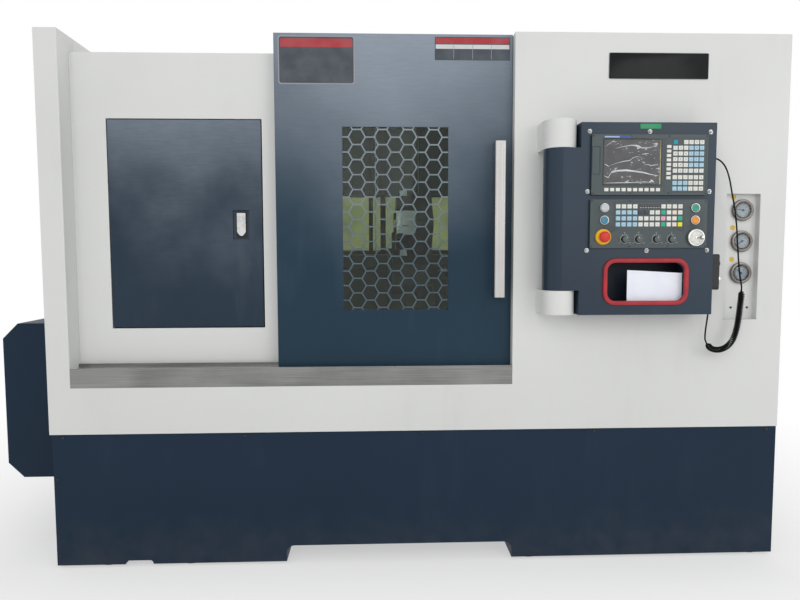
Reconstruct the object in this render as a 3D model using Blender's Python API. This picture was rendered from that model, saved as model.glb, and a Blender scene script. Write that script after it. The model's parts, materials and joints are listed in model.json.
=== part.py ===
"""A slant-bed CNC turning lathe in a full sheet-metal enclosure.

Sizes are in metres. The machine frame has X = 0 at the front cover's left edge with +X to the right, Y = 0 at the
front cover's face with +Y into the machine, and Z = 0 at the floor. The root empty moves that frame so that the
origin lies on the floor under the middle of the machine.
"""

from dataclasses import dataclass
from math import cos, pi, radians, sin, tau

import bmesh
import bpy
from mathutils import Matrix, Vector

# Clearances
GAP = 0.0003
RUNNING = 0.0004
SHEET = 0.003

# Enclosure and base
COVER_WIDTH = 2.700
COVER_TOP = 1.945
MACHINE_DEPTH = 1.600
POST_WIDTH = 0.082
OPENING_RIGHT = 1.690
APRON_TOP = 0.674
RETURN_DEPTH = 0.120
ROOF_DROP = 0.058
ROOF_FLANGE = 0.030
BASE_TOP = 0.5025
BASE_INSET = 0.007
FOOT_HEIGHT = 0.010
FOOT_RADIUS = 0.051
FOOT_ROOT = 0.004
PAD_MARGIN = 0.020
MIDDLE_PAD_SHIFT = 0.060
LEG_GAP_LEFT = 0.850
LEG_GAP_RIGHT = 1.695
LEG_GAP_HEIGHT = 0.070
LEG_GAP_ROUND = 0.028
BASE_ROUND = 0.003
JACK_NOTCH_LEFT = 0.255
JACK_NOTCH_WIDTH = 0.102
JACK_NOTCH_HEIGHT = 0.024
JACK_NOTCH_ROUND = 0.012

# Service hatches on the back and the right side
HATCH_RISE = 0.004
HATCH_ROUND = 0.010
HATCH_HANDLE = 0.003
HATCH_HANDLE_RADIUS = 0.016
HATCH_HANDLE_MARGIN = 0.050
REAR_HATCHES = (((0.300, 1.240), (0.700, 1.700)), ((1.760, 2.600), (0.620, 1.840)))
SIDE_HATCH_Y = (0.420, 1.240)
SIDE_HATCH_Z = (0.620, 1.800)
VENT_MARGIN = 0.110
VENT_LENGTH = 0.180
VENT_HEIGHT = 0.010
VENT_GAP = 0.060
VENT_PITCH = 0.030

# Fixed front panel, sill and door rail
PANEL_SETBACK = 0.085
PANEL_RETURN = 0.030
SILL_TOP = 0.745
SILL_LIP = 0.008
DOORWAY_LEFT = 0.860
DOORWAY_RIGHT = 1.660
DOORWAY_SILL_MARGIN = 0.040
DOORWAY_DROP = 0.020
RAIL_DROP = 0.027
RAIL_HEIGHT = 0.040
RAIL_THICKNESS = 0.018
RAIL_ROUND = 0.002

# Sliding door
DOOR_WIDTH = 0.862
DOOR_FACE = 0.034
DOOR_THICKNESS = 0.036
DOOR_LIFT = 0.003
DOOR_TRAVEL = 0.720
HANGER_THICKNESS = 0.006
SHOE_LENGTH = 0.080
SHOE_MARGIN = 0.080
HANGER_MARGIN = 0.020
DOOR_CLEARANCE = 0.002
WINDOW_LEFT = 1.068
WINDOW_WIDTH = 0.387
WINDOW_SILL = 0.949
WINDOW_HEIGHT = 0.667
HEX_PITCH = 0.054
HEX_WEB = 0.005
GRILLE_MARGIN = 0.018
GRILLE_THICKNESS = 0.002
PANE_THICKNESS = 0.006
HANDLE_WIDTH = 0.038
HANDLE_LENGTH = 0.561
HANDLE_DEPTH = 0.060
HANDLE_SHEET = 0.004
HANDLE_LIP = 0.012
HANDLE_MARGIN = 0.033
HANDLE_SILL = 0.997

# Cabinet door and its lock
CABINET_LEFT = 0.210
CABINET_WIDTH = 0.557
CABINET_SILL = 0.885
CABINET_TOP_MARGIN = 0.172
CABINET_THICKNESS = 0.025
CABINET_SEAM = 0.004
HINGE_PIN_RADIUS = 0.0025
HINGE_INSET = 0.006
LOCK_POCKET_WIDTH = 0.060
LOCK_POCKET_HEIGHT = 0.108
LOCK_POCKET_DEPTH = 0.010
LOCK_POCKET_MARGIN = 0.048
LOCK_POCKET_RISE = 0.326
LEVER_WIDTH = 0.032
LEVER_HEIGHT = 0.088
LEVER_THICKNESS = 0.005
LOCK_PLATE_THICKNESS = 0.003
LOCK_PLATE_RIM = 0.004

# Motor guard on the left side
GUARD_WIDTH = 0.293
GUARD_FRONT = 0.250
GUARD_LENGTH = 0.650
GUARD_SILL = 0.262
GUARD_HEIGHT = 0.623
GUARD_CHAMFER = 0.060

# Gauge recess
GAUGE_PANEL_LEFT = 2.478
GAUGE_PANEL_WIDTH = 0.126
GAUGE_PANEL_SILL = 0.909
GAUGE_PANEL_HEIGHT = 0.463
GAUGE_PANEL_DEPTH = 0.030
GAUGE_RADIUS = 0.040
GAUGE_DIAL_RADIUS = 0.027
GAUGE_THICKNESS = 0.014
GAUGE_OFFSET = 0.073
GAUGE_HEIGHTS = {"gauge_bottom": 0.172, "gauge_middle": 0.290, "gauge_top": 0.405}

# Swivelling control pendant, measured from its pivot and its lower edge
PIVOT_X = 1.832
PENDANT_BACK_GAP = 0.022
PENDANT_DEPTH = 0.108
PENDANT_REACH = 0.533
PENDANT_SILL = 0.941
PENDANT_HEIGHT = 0.662
POST_RADIUS = 0.015
BRACKET_RADIUS = 0.058
LOWER_BRACKET_HEIGHT = 0.085
UPPER_BRACKET_DROP = 0.085
UPPER_BRACKET_HEIGHT = 0.098
NOTCH_CLEARANCE = 0.002
UNIT_THICKNESS = 0.011
UNIT_MARGIN = 0.036
UNIT_TOP_MARGIN = 0.043
UNIT_WIDTH = 0.403
UNIT_HEIGHT = 0.205
UNIT_SEAM = 0.015
OPERATOR_WIDTH = 0.408
OPERATOR_HEIGHT = 0.166
OPERATOR_MARGIN = 0.033
DISPLAY_LEFT = 0.042
DISPLAY_SILL = 0.036
DISPLAY_WIDTH = 0.198
DISPLAY_HEIGHT = 0.152
DISPLAY_RECESS = 0.003
DISPLAY_THICKNESS = 0.0015
KEY_RISE = 0.0022
KEY_ROOT = 0.002
KEY_WIDTH = 0.0145
KEY_HEIGHT = 0.0135
MDI_RIGHT = 0.023
MDI_TOP = 0.026
MDI_PITCH_X = 0.0184
MDI_PITCH_Z = 0.0193
SOFT_KEYS = 10
SOFT_KEY_PITCH = 0.0199
SIDE_KEYS = 8
SIDE_KEY_PITCH = 0.0151
SIDE_KEY_OFFSET = 0.137
FLAP_WIDTH = 0.025
FLAP_HEIGHT = 0.091
FLAP_THICKNESS = 0.0018
FLAP_SEAM = 0.0005
FLAP_LEFT = 0.002
FLAP_SILL = 0.071
PANEL_KEY_COLUMNS = 12
PANEL_KEY_ROWS = 4
PANEL_KEY_PITCH_X = 0.0197
PANEL_KEY_PITCH_Z = 0.0205
PANEL_KEY_LEFT = 0.096
PANEL_KEY_TOP = 0.024
BUTTON_RADIUS = 0.0108
BUTTON_BEZEL = 0.015
BUTTON_RISE = 0.005
BUTTON_TRAVEL = 0.003
BUTTON_LENGTH = 0.009
BUTTON_LEFT = 0.048
BUTTON_RIGHT = 0.043
BUTTON_TOP = 0.029
BUTTON_PITCH = 0.042
ESTOP_LEFT = 0.046
ESTOP_SILL = 0.038
ESTOP_RADIUS = 0.0185
ESTOP_STEM = 0.009
ESTOP_COLLAR = 0.027
ESTOP_COLLAR_HEIGHT = 0.006
ESTOP_TRAVEL = 0.004
KNOB_RADIUS = 0.0130
KNOB_HEIGHT = 0.014
KNOB_SILL = 0.030
KNOB_OFFSETS = {"knob_mode": 0.121, "knob_feed": 0.170, "knob_speed": 0.232, "knob_step": 0.285}
PULSE_WHEEL_RADIUS = 0.0295
PULSE_WHEEL_HEIGHT = 0.012
PULSE_WHEEL_RIGHT = 0.040
PULSE_WHEEL_SILL = 0.035
CRANK_LENGTH = 0.017
POCKET_MARGIN = 0.104
POCKET_WIDTH = 0.272
POCKET_SILL = 0.045
POCKET_HEIGHT = 0.137
POCKET_ROUND = 0.036
POCKET_DEPTH = 0.085
POCKET_UNDERCUT = 0.005
TRIM_WIDTH = 0.010
TRIM_LIP = 0.002
TRIM_HEIGHT = 0.006
SHEETS_WIDTH = 0.153
SHEETS_HEIGHT = 0.114
SHEETS_SLOPE = 0.009
SHEETS_THICKNESS = 0.003
HAND_UNIT_WIDTH = 0.034
HAND_UNIT_DEPTH = 0.066
HAND_UNIT_HEIGHT = 0.126
HAND_UNIT_SILL = 0.085
HAND_WHEEL_RADIUS = 0.024
GLAND_RADIUS = 0.0065
GLAND_LENGTH = 0.012
CORD_GLAND_DROP = 0.108
CORD_GLAND_SETBACK = 0.026
HAND_GLAND_OFFSET = 0.017

# Curly cord
WIRE_RADIUS = 0.0030
COIL_RADIUS = 0.0115
LEAD_STEP = 0.015
COIL_STEP = 0.025
JOINT_GAP = 0.0015

# Slant bed and turning mechanism
SLANT = radians(45)
SPINDLE_Y = 0.620
SPINDLE_Z = 1.080
SPINDLE_RADIUS = 0.050
SPINDLE_BORE = 0.030
HEADSTOCK_LEFT = 0.250
HEADSTOCK_LENGTH = 0.550
BED_RIGHT = 1.660
BED_DROP = 0.300
WAY_WIDTH = 0.050
WAY_HEIGHT = 0.020
CHUCK_RADIUS = 0.125
CHUCK_LENGTH = 0.100
CHUCK_PLATE = 0.040
JAW_WIDTH = 0.036
JAW_KEY = 0.018
JAW_KEY_DEPTH = 0.012
JAW_HEIGHT = 0.045
JAW_TRAVEL = 0.005
SPINDLE_PULLEY_RADIUS = 0.100
PULLEY_LEFT = 0.140
PULLEY_WIDTH = 0.060
BELT_THICKNESS = 0.008
MOTOR_Z = 0.700
MOTOR_RADIUS = 0.115
MOTOR_LENGTH = 0.330
MOTOR_PULLEY_RADIUS = 0.060
MOTOR_PLATE_LEFT = 0.100
MOTOR_PLATE_THICKNESS = 0.018
SADDLE_LEFT = 1.250
SADDLE_LENGTH = 0.230
SADDLE_THICKNESS = 0.050
SLIDE_INSET = 0.020
SLIDE_THICKNESS = 0.060
TURRET_RADIUS = 0.140
TURRET_THICKNESS = 0.090
TURRET_STATIONS = 8
TURRET_OFFSET = 0.320
TAILSTOCK_LEFT = 1.520
TAILSTOCK_LENGTH = 0.140
QUILL_RADIUS = 0.030
QUILL_REACH = 0.050
BED_LOW = -0.360
BED_HIGH = 0.400
BED_FRONT = 0.075
BED_BACK = 0.200
BED_LIP = 0.030
CARRIAGE_WAYS = (0.000, 0.290)
TAILSTOCK_WAYS = (-0.320, -0.150)
WAY_ROOT = 0.004
MOTOR_PLATE_HALF = 0.160
MOTOR_PILOT = 0.045
PLATE_TIE = 0.030
HEADSTOCK_LOW = -0.200
HEADSTOCK_HIGH = 0.220
HEADSTOCK_CROWN = 0.170
HEADSTOCK_CROWN_HALF = 0.150
HEADSTOCK_SHOULDER = 0.050
HEADSTOCK_HIP = -0.100
BEARING_COVER_RADIUS = 0.095
BEARING_COVER_THICKNESS = 0.006
CHUCK_CLEARANCE = 0.010
SADDLE_LOW = -0.040
SADDLE_HIGH = 0.380
SLIDE_KEY_INSET = 0.085
SLIDE_KEY_WIDTH = 0.060
SLIDE_KEY_RISE = 0.012
SLIDE_LOW = 0.060
SLIDE_HIGH = 0.440
TURRET_INSET = 0.035
HOUSING_HALF = 0.120
HOUSING_TOP = 0.110
HOUSING_CLEARANCE = 0.003
HOUSING_ROUND = 0.030
TURRET_HUB_RADIUS = 0.040
TURRET_HUB_LENGTH = 0.040
TURRET_BOSS_RADIUS = 0.050
TURRET_BOSS_RISE = 0.010
HOLDER_WIDTH = 0.032
HOLDER_RISE = 0.030
HOLDER_THICKNESS = 0.035
HOLDER_INSET = 0.020
TOOL_BORE_RADIUS = 0.014
TOOL_BORE_DEPTH = 0.045
TOOL_BORE_MARGIN = 0.032
TAILSTOCK_LOW = -0.345
TAILSTOCK_HIGH = -0.070
TAILSTOCK_FOOT_TOP = -0.200
TAILSTOCK_NECK = -0.130
TAILSTOCK_WAIST = -0.050
TAILSTOCK_WAIST_LOW = -0.120
TAILSTOCK_HEAD_HALF = 0.065
CENTRE_LENGTH = 0.022
CENTRE_RADIUS = 0.0125
CENTRE_COLLAR = 0.008
QUILL_INSET = 0.010

# Values that follow from the ones above
ROOF_TOP = COVER_TOP - ROOF_DROP
PANEL_TOP = ROOF_TOP
RAIL_TOP = ROOF_TOP - RAIL_DROP
RAIL_SILL = RAIL_TOP - RAIL_HEIGHT
DOORWAY_TOP = RAIL_SILL - DOORWAY_DROP
SILL_DECK = SILL_TOP - SILL_LIP
CABINET_HEIGHT = RAIL_SILL - CABINET_TOP_MARGIN - CABINET_SILL
LOCK_POCKET_SILL = CABINET_SILL + LOCK_POCKET_RISE
PIVOT_Y = -(PENDANT_BACK_GAP + PENDANT_DEPTH / 2)
PENDANT_FACE = PIVOT_Y - PENDANT_DEPTH / 2
PENDANT_RIGHT = PIVOT_X + PENDANT_REACH
PENDANT_TOP = PENDANT_SILL + PENDANT_HEIGHT
UPPER_BRACKET_SILL = PENDANT_TOP - UPPER_BRACKET_DROP
UNIT_FACE = PENDANT_FACE - GAP - UNIT_THICKNESS
UNIT_RIGHT = PENDANT_RIGHT - UNIT_MARGIN
UNIT_LEFT = UNIT_RIGHT - UNIT_WIDTH
UNIT_TOP = PENDANT_TOP - UNIT_TOP_MARGIN
UNIT_SILL = UNIT_TOP - UNIT_HEIGHT
OPERATOR_RIGHT = PENDANT_RIGHT - OPERATOR_MARGIN
OPERATOR_LEFT = OPERATOR_RIGHT - OPERATOR_WIDTH
OPERATOR_TOP = UNIT_SILL - UNIT_SEAM
OPERATOR_SILL = OPERATOR_TOP - OPERATOR_HEIGHT
CRANK_TIP = UNIT_FACE - GAP - PULSE_WHEEL_HEIGHT - CRANK_LENGTH
HEADSTOCK_RIGHT = HEADSTOCK_LEFT + HEADSTOCK_LENGTH
CHUCK_FACE = HEADSTOCK_RIGHT + CHUCK_PLATE + CHUCK_CLEARANCE + CHUCK_LENGTH
TURRET_LEFT = SADDLE_LEFT + TURRET_INSET


@dataclass(frozen=True)
class Frame:
    """An empty that carries pieces, with its place in the machine frame."""

    empty: bpy.types.Object
    at: Vector


@dataclass(frozen=True)
class Finish:
    """One Principled material: linear colour, roughness and metallic value."""

    name: str
    colour: tuple
    roughness: float
    metallic: float = 0.0
    alpha: float = 1.0


CREAM = Finish("cream_paint", (0.66, 0.65, 0.61), 0.45)
NAVY = Finish("navy_paint", (0.022, 0.038, 0.062), 0.40)
STAINLESS = Finish("stainless", (0.42, 0.39, 0.36), 0.35, 1.0)
BRIGHT_STEEL = Finish("bright_steel", (0.75, 0.75, 0.74), 0.22, 1.0)
CAST_GREY = Finish("cast_grey", (0.30, 0.32, 0.31), 0.55)
MACHINED = Finish("machined_steel", (0.45, 0.46, 0.47), 0.30, 1.0)
GLASS = Finish("window_glass", (0.20, 0.24, 0.22), 0.08, 0.0, 0.4)
PANEL_GREY = Finish("panel_grey", (0.060, 0.075, 0.078), 0.55)
SCREEN = Finish("screen_glass", (0.02, 0.02, 0.022), 0.12)
YELLOW = Finish("yellow_plastic", (0.85, 0.55, 0.02), 0.45)
RED = Finish("red_plastic", (0.62, 0.05, 0.04), 0.40)
RED_RUBBER = Finish("red_rubber", (0.60, 0.07, 0.09), 0.60)
PAPER = Finish("white_paper", (0.78, 0.78, 0.82), 0.80)
BLACK = Finish("black_plastic", (0.015, 0.015, 0.017), 0.50)
RUBBER = Finish("black_rubber", (0.012, 0.012, 0.012), 0.65)
CHROME = Finish("chrome", (0.80, 0.80, 0.80), 0.12, 1.0)
DIAL = Finish("gauge_steel", (0.60, 0.60, 0.60), 0.20, 1.0)
BUTTON_COLOURS = {
    "button_silver": Finish("silver_button", (0.55, 0.56, 0.58), 0.35),
    "button_blue": Finish("blue_button", (0.03, 0.25, 0.45), 0.35),
    "button_green": Finish("green_button", (0.02, 0.35, 0.20), 0.35),
    "button_orange": Finish("orange_button", (0.75, 0.25, 0.02), 0.35),
}


def clear_scene():
    """Remove every object that the file starts with."""
    for obj in list(bpy.data.objects):
        bpy.data.objects.remove(obj)


def material_of(finish):
    """The finish's material, made once."""
    found = bpy.data.materials.get(finish.name)
    if found:
        return found
    made = bpy.data.materials.new(finish.name)
    made.use_nodes = True
    shader = made.node_tree.nodes["Principled BSDF"]
    shader.inputs["Base Color"].default_value = (*finish.colour, 1.0)
    shader.inputs["Roughness"].default_value = finish.roughness
    shader.inputs["Metallic"].default_value = finish.metallic
    shader.inputs["Alpha"].default_value = finish.alpha
    return made


def new_frame(name, at, parent=None):
    """An empty at a place in the machine frame, carried by another frame."""
    empty = bpy.data.objects.new(name, None)
    bpy.context.collection.objects.link(empty)
    at = Vector(at)
    empty.location = at
    if parent:
        empty.parent = parent.empty
        empty.location = at - parent.at
    return Frame(empty, at)


def mesh_object(name, bm, frame):
    """An object from a bmesh in the machine frame, with its origin at its frame."""
    bmesh.ops.recalc_face_normals(bm, faces=bm.faces[:])
    bmesh.ops.translate(bm, verts=bm.verts[:], vec=-frame.at)
    mesh = bpy.data.meshes.new(name)
    bm.to_mesh(mesh)
    bm.free()
    obj = bpy.data.objects.new(name, mesh)
    bpy.context.collection.objects.link(obj)
    obj.parent = frame.empty
    return obj


def boolean(obj, bm, operation, frame, label):
    """Join or cut a hidden helper shape."""
    helper = mesh_object(f"{obj.name}_{label}", bm, frame)
    helper.hide_render = True
    helper.display_type = "WIRE"
    modifier = obj.modifiers.new(label, "BOOLEAN")
    modifier.operation = operation
    modifier.object = helper
    modifier.solver = "EXACT"
    return helper


def piece(name, bm, finish, frame, joined=(), cut=(), smooth=False):
    """A finished sub-part: its main form, with shapes joined to it and then cut from it."""
    obj = mesh_object(name, bm, frame)
    obj.data.materials.append(material_of(finish))
    if smooth:
        obj.data.shade_smooth()
        obj.data.set_sharp_from_angle(angle=radians(35))
    for i, shape in enumerate(joined):
        boolean(obj, shape, "UNION", frame, f"join_{i}")
    for i, shape in enumerate(cut):
        boolean(obj, shape, "DIFFERENCE", frame, f"cut_{i}")
    return obj


def block(x, y, z, into=None):
    """A box from three (low, high) pairs."""
    bm = into or bmesh.new()
    centre = Vector(((x[0] + x[1]) / 2, (y[0] + y[1]) / 2, (z[0] + z[1]) / 2))
    size = Vector((x[1] - x[0], y[1] - y[0], z[1] - z[0]))
    bmesh.ops.create_cube(bm, size=1.0, matrix=Matrix.Translation(centre) @ Matrix.Diagonal(size).to_4x4())
    return bm


def place(axis, a, b, along):
    """The 3-D point of a flat outline's point, for an outline that is extruded along an axis."""
    return {"X": (along, a, b), "Y": (a, along, b), "Z": (a, b, along)}[axis]


def prism(outline, axis, low, high, into=None):
    """A closed outline extruded along an axis from low to high."""
    bm = into or bmesh.new()
    face = bm.faces.new([bm.verts.new(place(axis, a, b, low)) for a, b in outline])
    grown = bmesh.ops.extrude_face_region(bm, geom=[face])
    moved = [v for v in grown["geom"] if isinstance(v, bmesh.types.BMVert)]
    bmesh.ops.translate(bm, verts=moved, vec=Vector(place(axis, 0, 0, high - low)))
    return bm


def circle(centre, radius, sides=32, start=0.0, turn=tau):
    """Points on a circle or, with a turn under a full one, on an arc with both its ends."""
    count = sides if turn == tau else sides + 1
    angles = [start + turn * i / sides for i in range(count)]
    return [(centre[0] + radius * cos(t), centre[1] + radius * sin(t)) for t in angles]


def bore(radius, sides=32):
    """The corner radius of a many-sided hole that clears a round shaft."""
    return (radius + RUNNING) / cos(pi / sides)


def rectangle(a, b):
    """An outline from two (low, high) pairs."""
    return [(a[0], b[0]), (a[1], b[0]), (a[1], b[1]), (a[0], b[1])]


def rounded(corners, radius, steps=4):
    """An outline with an arc in place of each corner. The radius is one value, or one for each corner."""
    out = []
    count = len(corners)
    radii = radius if isinstance(radius, (list, tuple)) else [radius] * count
    for i, corner in enumerate(corners):
        p = Vector(corner)
        before = (Vector(corners[i - 1]) - p).normalized()
        after = (Vector(corners[(i + 1) % count]) - p).normalized()
        if not radii[i]:
            out.append(tuple(p))
            continue
        half = before.angle(after) / 2
        centre = p + (before + after).normalized() * radii[i] / sin(half)
        start = p + before * radii[i] / abs(sin(half) / cos(half)) - centre
        swing = (pi - 2 * half) * (1 if before.cross(after) < 0 else -1)
        for k in range(steps + 1):
            turned_by = Matrix.Rotation(swing * k / steps, 2)
            out.append(tuple(centre + turned_by @ start))
    return out


def turned(profile, axis, centre, sides=32):
    """A profile of (along, radius) points turned about an axis. Its two ends lie on the axis, or it is a closed
    ring."""
    bm = bmesh.new()
    ring = all(r > 0 for _, r in profile)
    unit = {"X": Vector((1, 0, 0)), "Y": Vector((0, 1, 0)), "Z": Vector((0, 0, 1))}[axis]
    out = Vector((0, 0, 1)) if axis != "Z" else Vector((1, 0, 0))
    foot = Vector(place(axis, *centre, 0.0))
    verts = [bm.verts.new(foot + unit * a + out * r) for a, r in profile]
    pairs = list(zip(verts, verts[1:])) + ([(verts[-1], verts[0])] if ring else [])
    edges = [bm.edges.new(pair) for pair in pairs]
    bmesh.ops.spin(
        bm, geom=verts + edges, cent=foot, axis=unit, angle=tau, steps=sides, use_merge=True, use_duplicate=False
    )
    bmesh.ops.remove_doubles(bm, verts=bm.verts[:], dist=1e-6)
    return bm


def slanted(u, n):
    """The (y, z) point at u up the bed's slope and n out of it, from the spindle's axis."""
    return (
        SPINDLE_Y + u * cos(SLANT) - n * sin(SLANT),
        SPINDLE_Z + u * sin(SLANT) + n * cos(SLANT),
    )


def slant_prism(outline, low, high, into=None):
    """An outline of (u, n) points extruded along X."""
    return prism([slanted(u, n) for u, n in outline], "X", low, high, into)


def build_base(root):
    """The painted base with two legs, a jacking notch and eight levelling pads."""
    left, right = BASE_INSET, COVER_WIDTH
    outline = rounded(
        [
            (left, FOOT_HEIGHT),
            (LEG_GAP_LEFT, FOOT_HEIGHT),
            (LEG_GAP_LEFT, LEG_GAP_HEIGHT),
            (LEG_GAP_RIGHT, LEG_GAP_HEIGHT),
            (LEG_GAP_RIGHT, FOOT_HEIGHT),
            (right, FOOT_HEIGHT),
            (right, BASE_TOP),
            (left, BASE_TOP),
        ],
        [0, 0, LEG_GAP_ROUND, LEG_GAP_ROUND, 0, 0, BASE_ROUND, BASE_ROUND],
    )
    body = prism(outline, "Y", BASE_INSET, MACHINE_DEPTH - BASE_INSET)
    notch_right = JACK_NOTCH_LEFT + JACK_NOTCH_WIDTH
    notch = rounded(
        rectangle((JACK_NOTCH_LEFT, notch_right), (0.0, JACK_NOTCH_HEIGHT)),
        [0, 0, JACK_NOTCH_ROUND, JACK_NOTCH_ROUND],
    )
    margin = FOOT_RADIUS + PAD_MARGIN
    pads = []
    middle = notch_right + margin + MIDDLE_PAD_SHIFT
    for x in (JACK_NOTCH_LEFT - margin, middle, LEG_GAP_RIGHT + margin, right - margin):
        for y in (BASE_INSET + margin, MACHINE_DEPTH - BASE_INSET - margin):
            pads.append(prism(circle((x, y), FOOT_RADIUS, 16), "Z", 0.0, FOOT_HEIGHT + FOOT_ROOT))
    notch_cut = prism(notch, "Y", 0.0, MACHINE_DEPTH)
    piece("machine_base", body, NAVY, root, joined=pads, cut=[notch_cut])


def cover_outline(inset):
    """The front cover's U outline in X and Z, drawn in by an inset."""
    return [
        (inset, BASE_TOP + GAP + inset),
        (COVER_WIDTH - inset, BASE_TOP + GAP + inset),
        (COVER_WIDTH - inset, COVER_TOP - inset),
        (OPENING_RIGHT + inset, COVER_TOP - inset),
        (OPENING_RIGHT + inset, APRON_TOP - inset),
        (POST_WIDTH - inset, APRON_TOP - inset),
        (POST_WIDTH - inset, COVER_TOP - inset),
        (inset, COVER_TOP - inset),
    ]


def gauge_opening(grow=0.0):
    """The gauge recess's outline in X and Z."""
    return rectangle(
        (GAUGE_PANEL_LEFT - grow, GAUGE_PANEL_LEFT + GAUGE_PANEL_WIDTH + grow),
        (GAUGE_PANEL_SILL - grow, GAUGE_PANEL_SILL + GAUGE_PANEL_HEIGHT + grow),
    )


def build_covers(root):
    """The enclosure: a U-shaped front cover, box-section sides, a roof and a rear cover."""
    front = prism(cover_outline(0.0), "Y", 0.0, RETURN_DEPTH)
    pocket = prism(cover_outline(SHEET), "Y", SHEET, RETURN_DEPTH + 0.01)
    window = prism(gauge_opening(), "Y", -0.01, SHEET + 0.01)
    piece("front_cover", front, CREAM, root, cut=[pocket, window])

    rear_face = MACHINE_DEPTH - HATCH_RISE - HATCH_HANDLE
    start, end = RETURN_DEPTH + GAP, rear_face - SHEET - GAP
    foot = BASE_TOP + GAP
    right_face = COVER_WIDTH - HATCH_RISE
    for name, low, high in (
        ("left_side_cover", 0.0, POST_WIDTH),
        ("right_side_cover", OPENING_RIGHT, right_face),
    ):
        hood = prism(rectangle((low, high), (foot, COVER_TOP)), "Y", start, end)
        inside = rectangle((low + SHEET, high - SHEET), (foot - 0.01, COVER_TOP - SHEET))
        cuts = [prism(inside, "Y", start - 0.01, end + 0.01)]
        joined = []
        if low == 0.0:
            hole = circle((SPINDLE_Y, MOTOR_Z), MOTOR_RADIUS + 0.025, 24)
            cuts.append(prism(hole, "X", low - 0.01, high + 0.01))
        else:
            door = rounded(rectangle(SIDE_HATCH_Y, SIDE_HATCH_Z), HATCH_ROUND, 3)
            joined.append(prism(door, "X", high - SHEET / 2, COVER_WIDTH))
        piece(name, hood, CREAM, root, joined=joined, cut=cuts)

    roof_left, roof_right = POST_WIDTH + GAP, OPENING_RIGHT - GAP
    flange_sill = ROOF_TOP - ROOF_FLANGE
    roof = [
        (roof_left, flange_sill),
        (roof_left + SHEET, flange_sill),
        (roof_left + SHEET, ROOF_TOP - SHEET),
        (roof_right - SHEET, ROOF_TOP - SHEET),
        (roof_right - SHEET, flange_sill),
        (roof_right, flange_sill),
        (roof_right, ROOF_TOP),
        (roof_left, ROOF_TOP),
    ]
    piece("roof_cover", prism(roof, "Y", start, end), CREAM, root)

    rear = prism(rectangle((0.0, COVER_WIDTH), (foot, COVER_TOP)), "Y", rear_face - SHEET, rear_face)
    hatch_face = rear_face + HATCH_RISE
    hatches, handles, vents = bmesh.new(), bmesh.new(), bmesh.new()
    for hatch_x, hatch_z in REAR_HATCHES:
        corners = rounded(rectangle(hatch_x, hatch_z), HATCH_ROUND, 3)
        prism(corners, "Y", rear_face - SHEET / 2, hatch_face, hatches)
        lock = (hatch_x[0] + HATCH_HANDLE_MARGIN, (hatch_z[0] + hatch_z[1]) / 2)
        prism(circle(lock, HATCH_HANDLE_RADIUS, 16), "Y", hatch_face - 0.001, MACHINE_DEPTH, handles)
    vent_right = REAR_HATCHES[-1][0][1] - HATCH_HANDLE_MARGIN
    vent_top = REAR_HATCHES[-1][1][1] - VENT_MARGIN
    for column in range(2):
        for row in range(6):
            x = vent_right - (column + 1) * (VENT_LENGTH + VENT_GAP)
            z = vent_top - row * VENT_PITCH
            slot = rounded(rectangle((x, x + VENT_LENGTH), (z, z + VENT_HEIGHT)), VENT_HEIGHT * 0.45, 2)
            prism(slot, "Y", rear_face - 0.02, MACHINE_DEPTH, vents)
    piece("rear_cover", rear, CREAM, root, joined=[hatches, handles], cut=[vents])


def build_motor_guard(root):
    """The guard that sticks out of the left side round the spindle motor, open towards the machine."""
    top = GUARD_SILL + GUARD_HEIGHT
    right = -GAP

    def outline(inset, reach):
        """The guard's chamfered section, drawn in by an inset and lengthened towards the machine."""
        return [
            (right + reach, GUARD_SILL + inset),
            (GUARD_CHAMFER - GUARD_WIDTH + inset * 0.4, GUARD_SILL + inset),
            (inset - GUARD_WIDTH, GUARD_SILL + GUARD_CHAMFER + inset * 0.4),
            (inset - GUARD_WIDTH, top - GUARD_CHAMFER - inset * 0.4),
            (GUARD_CHAMFER - GUARD_WIDTH + inset * 0.4, top - inset),
            (right + reach, top - inset),
        ]

    back = GUARD_FRONT + GUARD_LENGTH
    shell = prism(outline(0.0, 0.0), "Y", GUARD_FRONT, back)
    inside = prism(outline(SHEET, 0.01), "Y", GUARD_FRONT + SHEET, back - SHEET)
    piece("motor_guard", shell, NAVY, root, cut=[inside])


def build_sill(root):
    """The stainless sill: a folded channel with a front lip and a guide rib behind the door's lower edge."""
    foot = APRON_TOP + GAP
    back = PANEL_SETBACK - GAP
    rib_front = DOOR_FACE + DOOR_THICKNESS + 0.0015
    rib_back = rib_front + SHEET
    rib_top = SILL_DECK + DOOR_LIFT + 0.012
    profile = [
        (0.0, foot),
        (SHEET, foot),
        (SHEET, SILL_DECK - SHEET),
        (back - SHEET, SILL_DECK - SHEET),
        (back - SHEET, foot),
        (back, foot),
        (back, SILL_DECK),
        (rib_back, SILL_DECK),
        (rib_back, rib_top),
        (rib_front, rib_top),
        (rib_front, SILL_DECK),
        (SHEET, SILL_DECK),
        (SHEET, SILL_TOP),
        (0.0, SILL_TOP),
    ]
    piece("sill_strip", prism(profile, "X", POST_WIDTH + GAP, OPENING_RIGHT - GAP), STAINLESS, root)


def cabinet_opening(grow):
    """The cabinet door's outline in X and Z, grown all round."""
    return rectangle(
        (CABINET_LEFT - grow, CABINET_LEFT + CABINET_WIDTH + grow),
        (CABINET_SILL - grow, CABINET_SILL + CABINET_HEIGHT + grow),
    )


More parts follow.
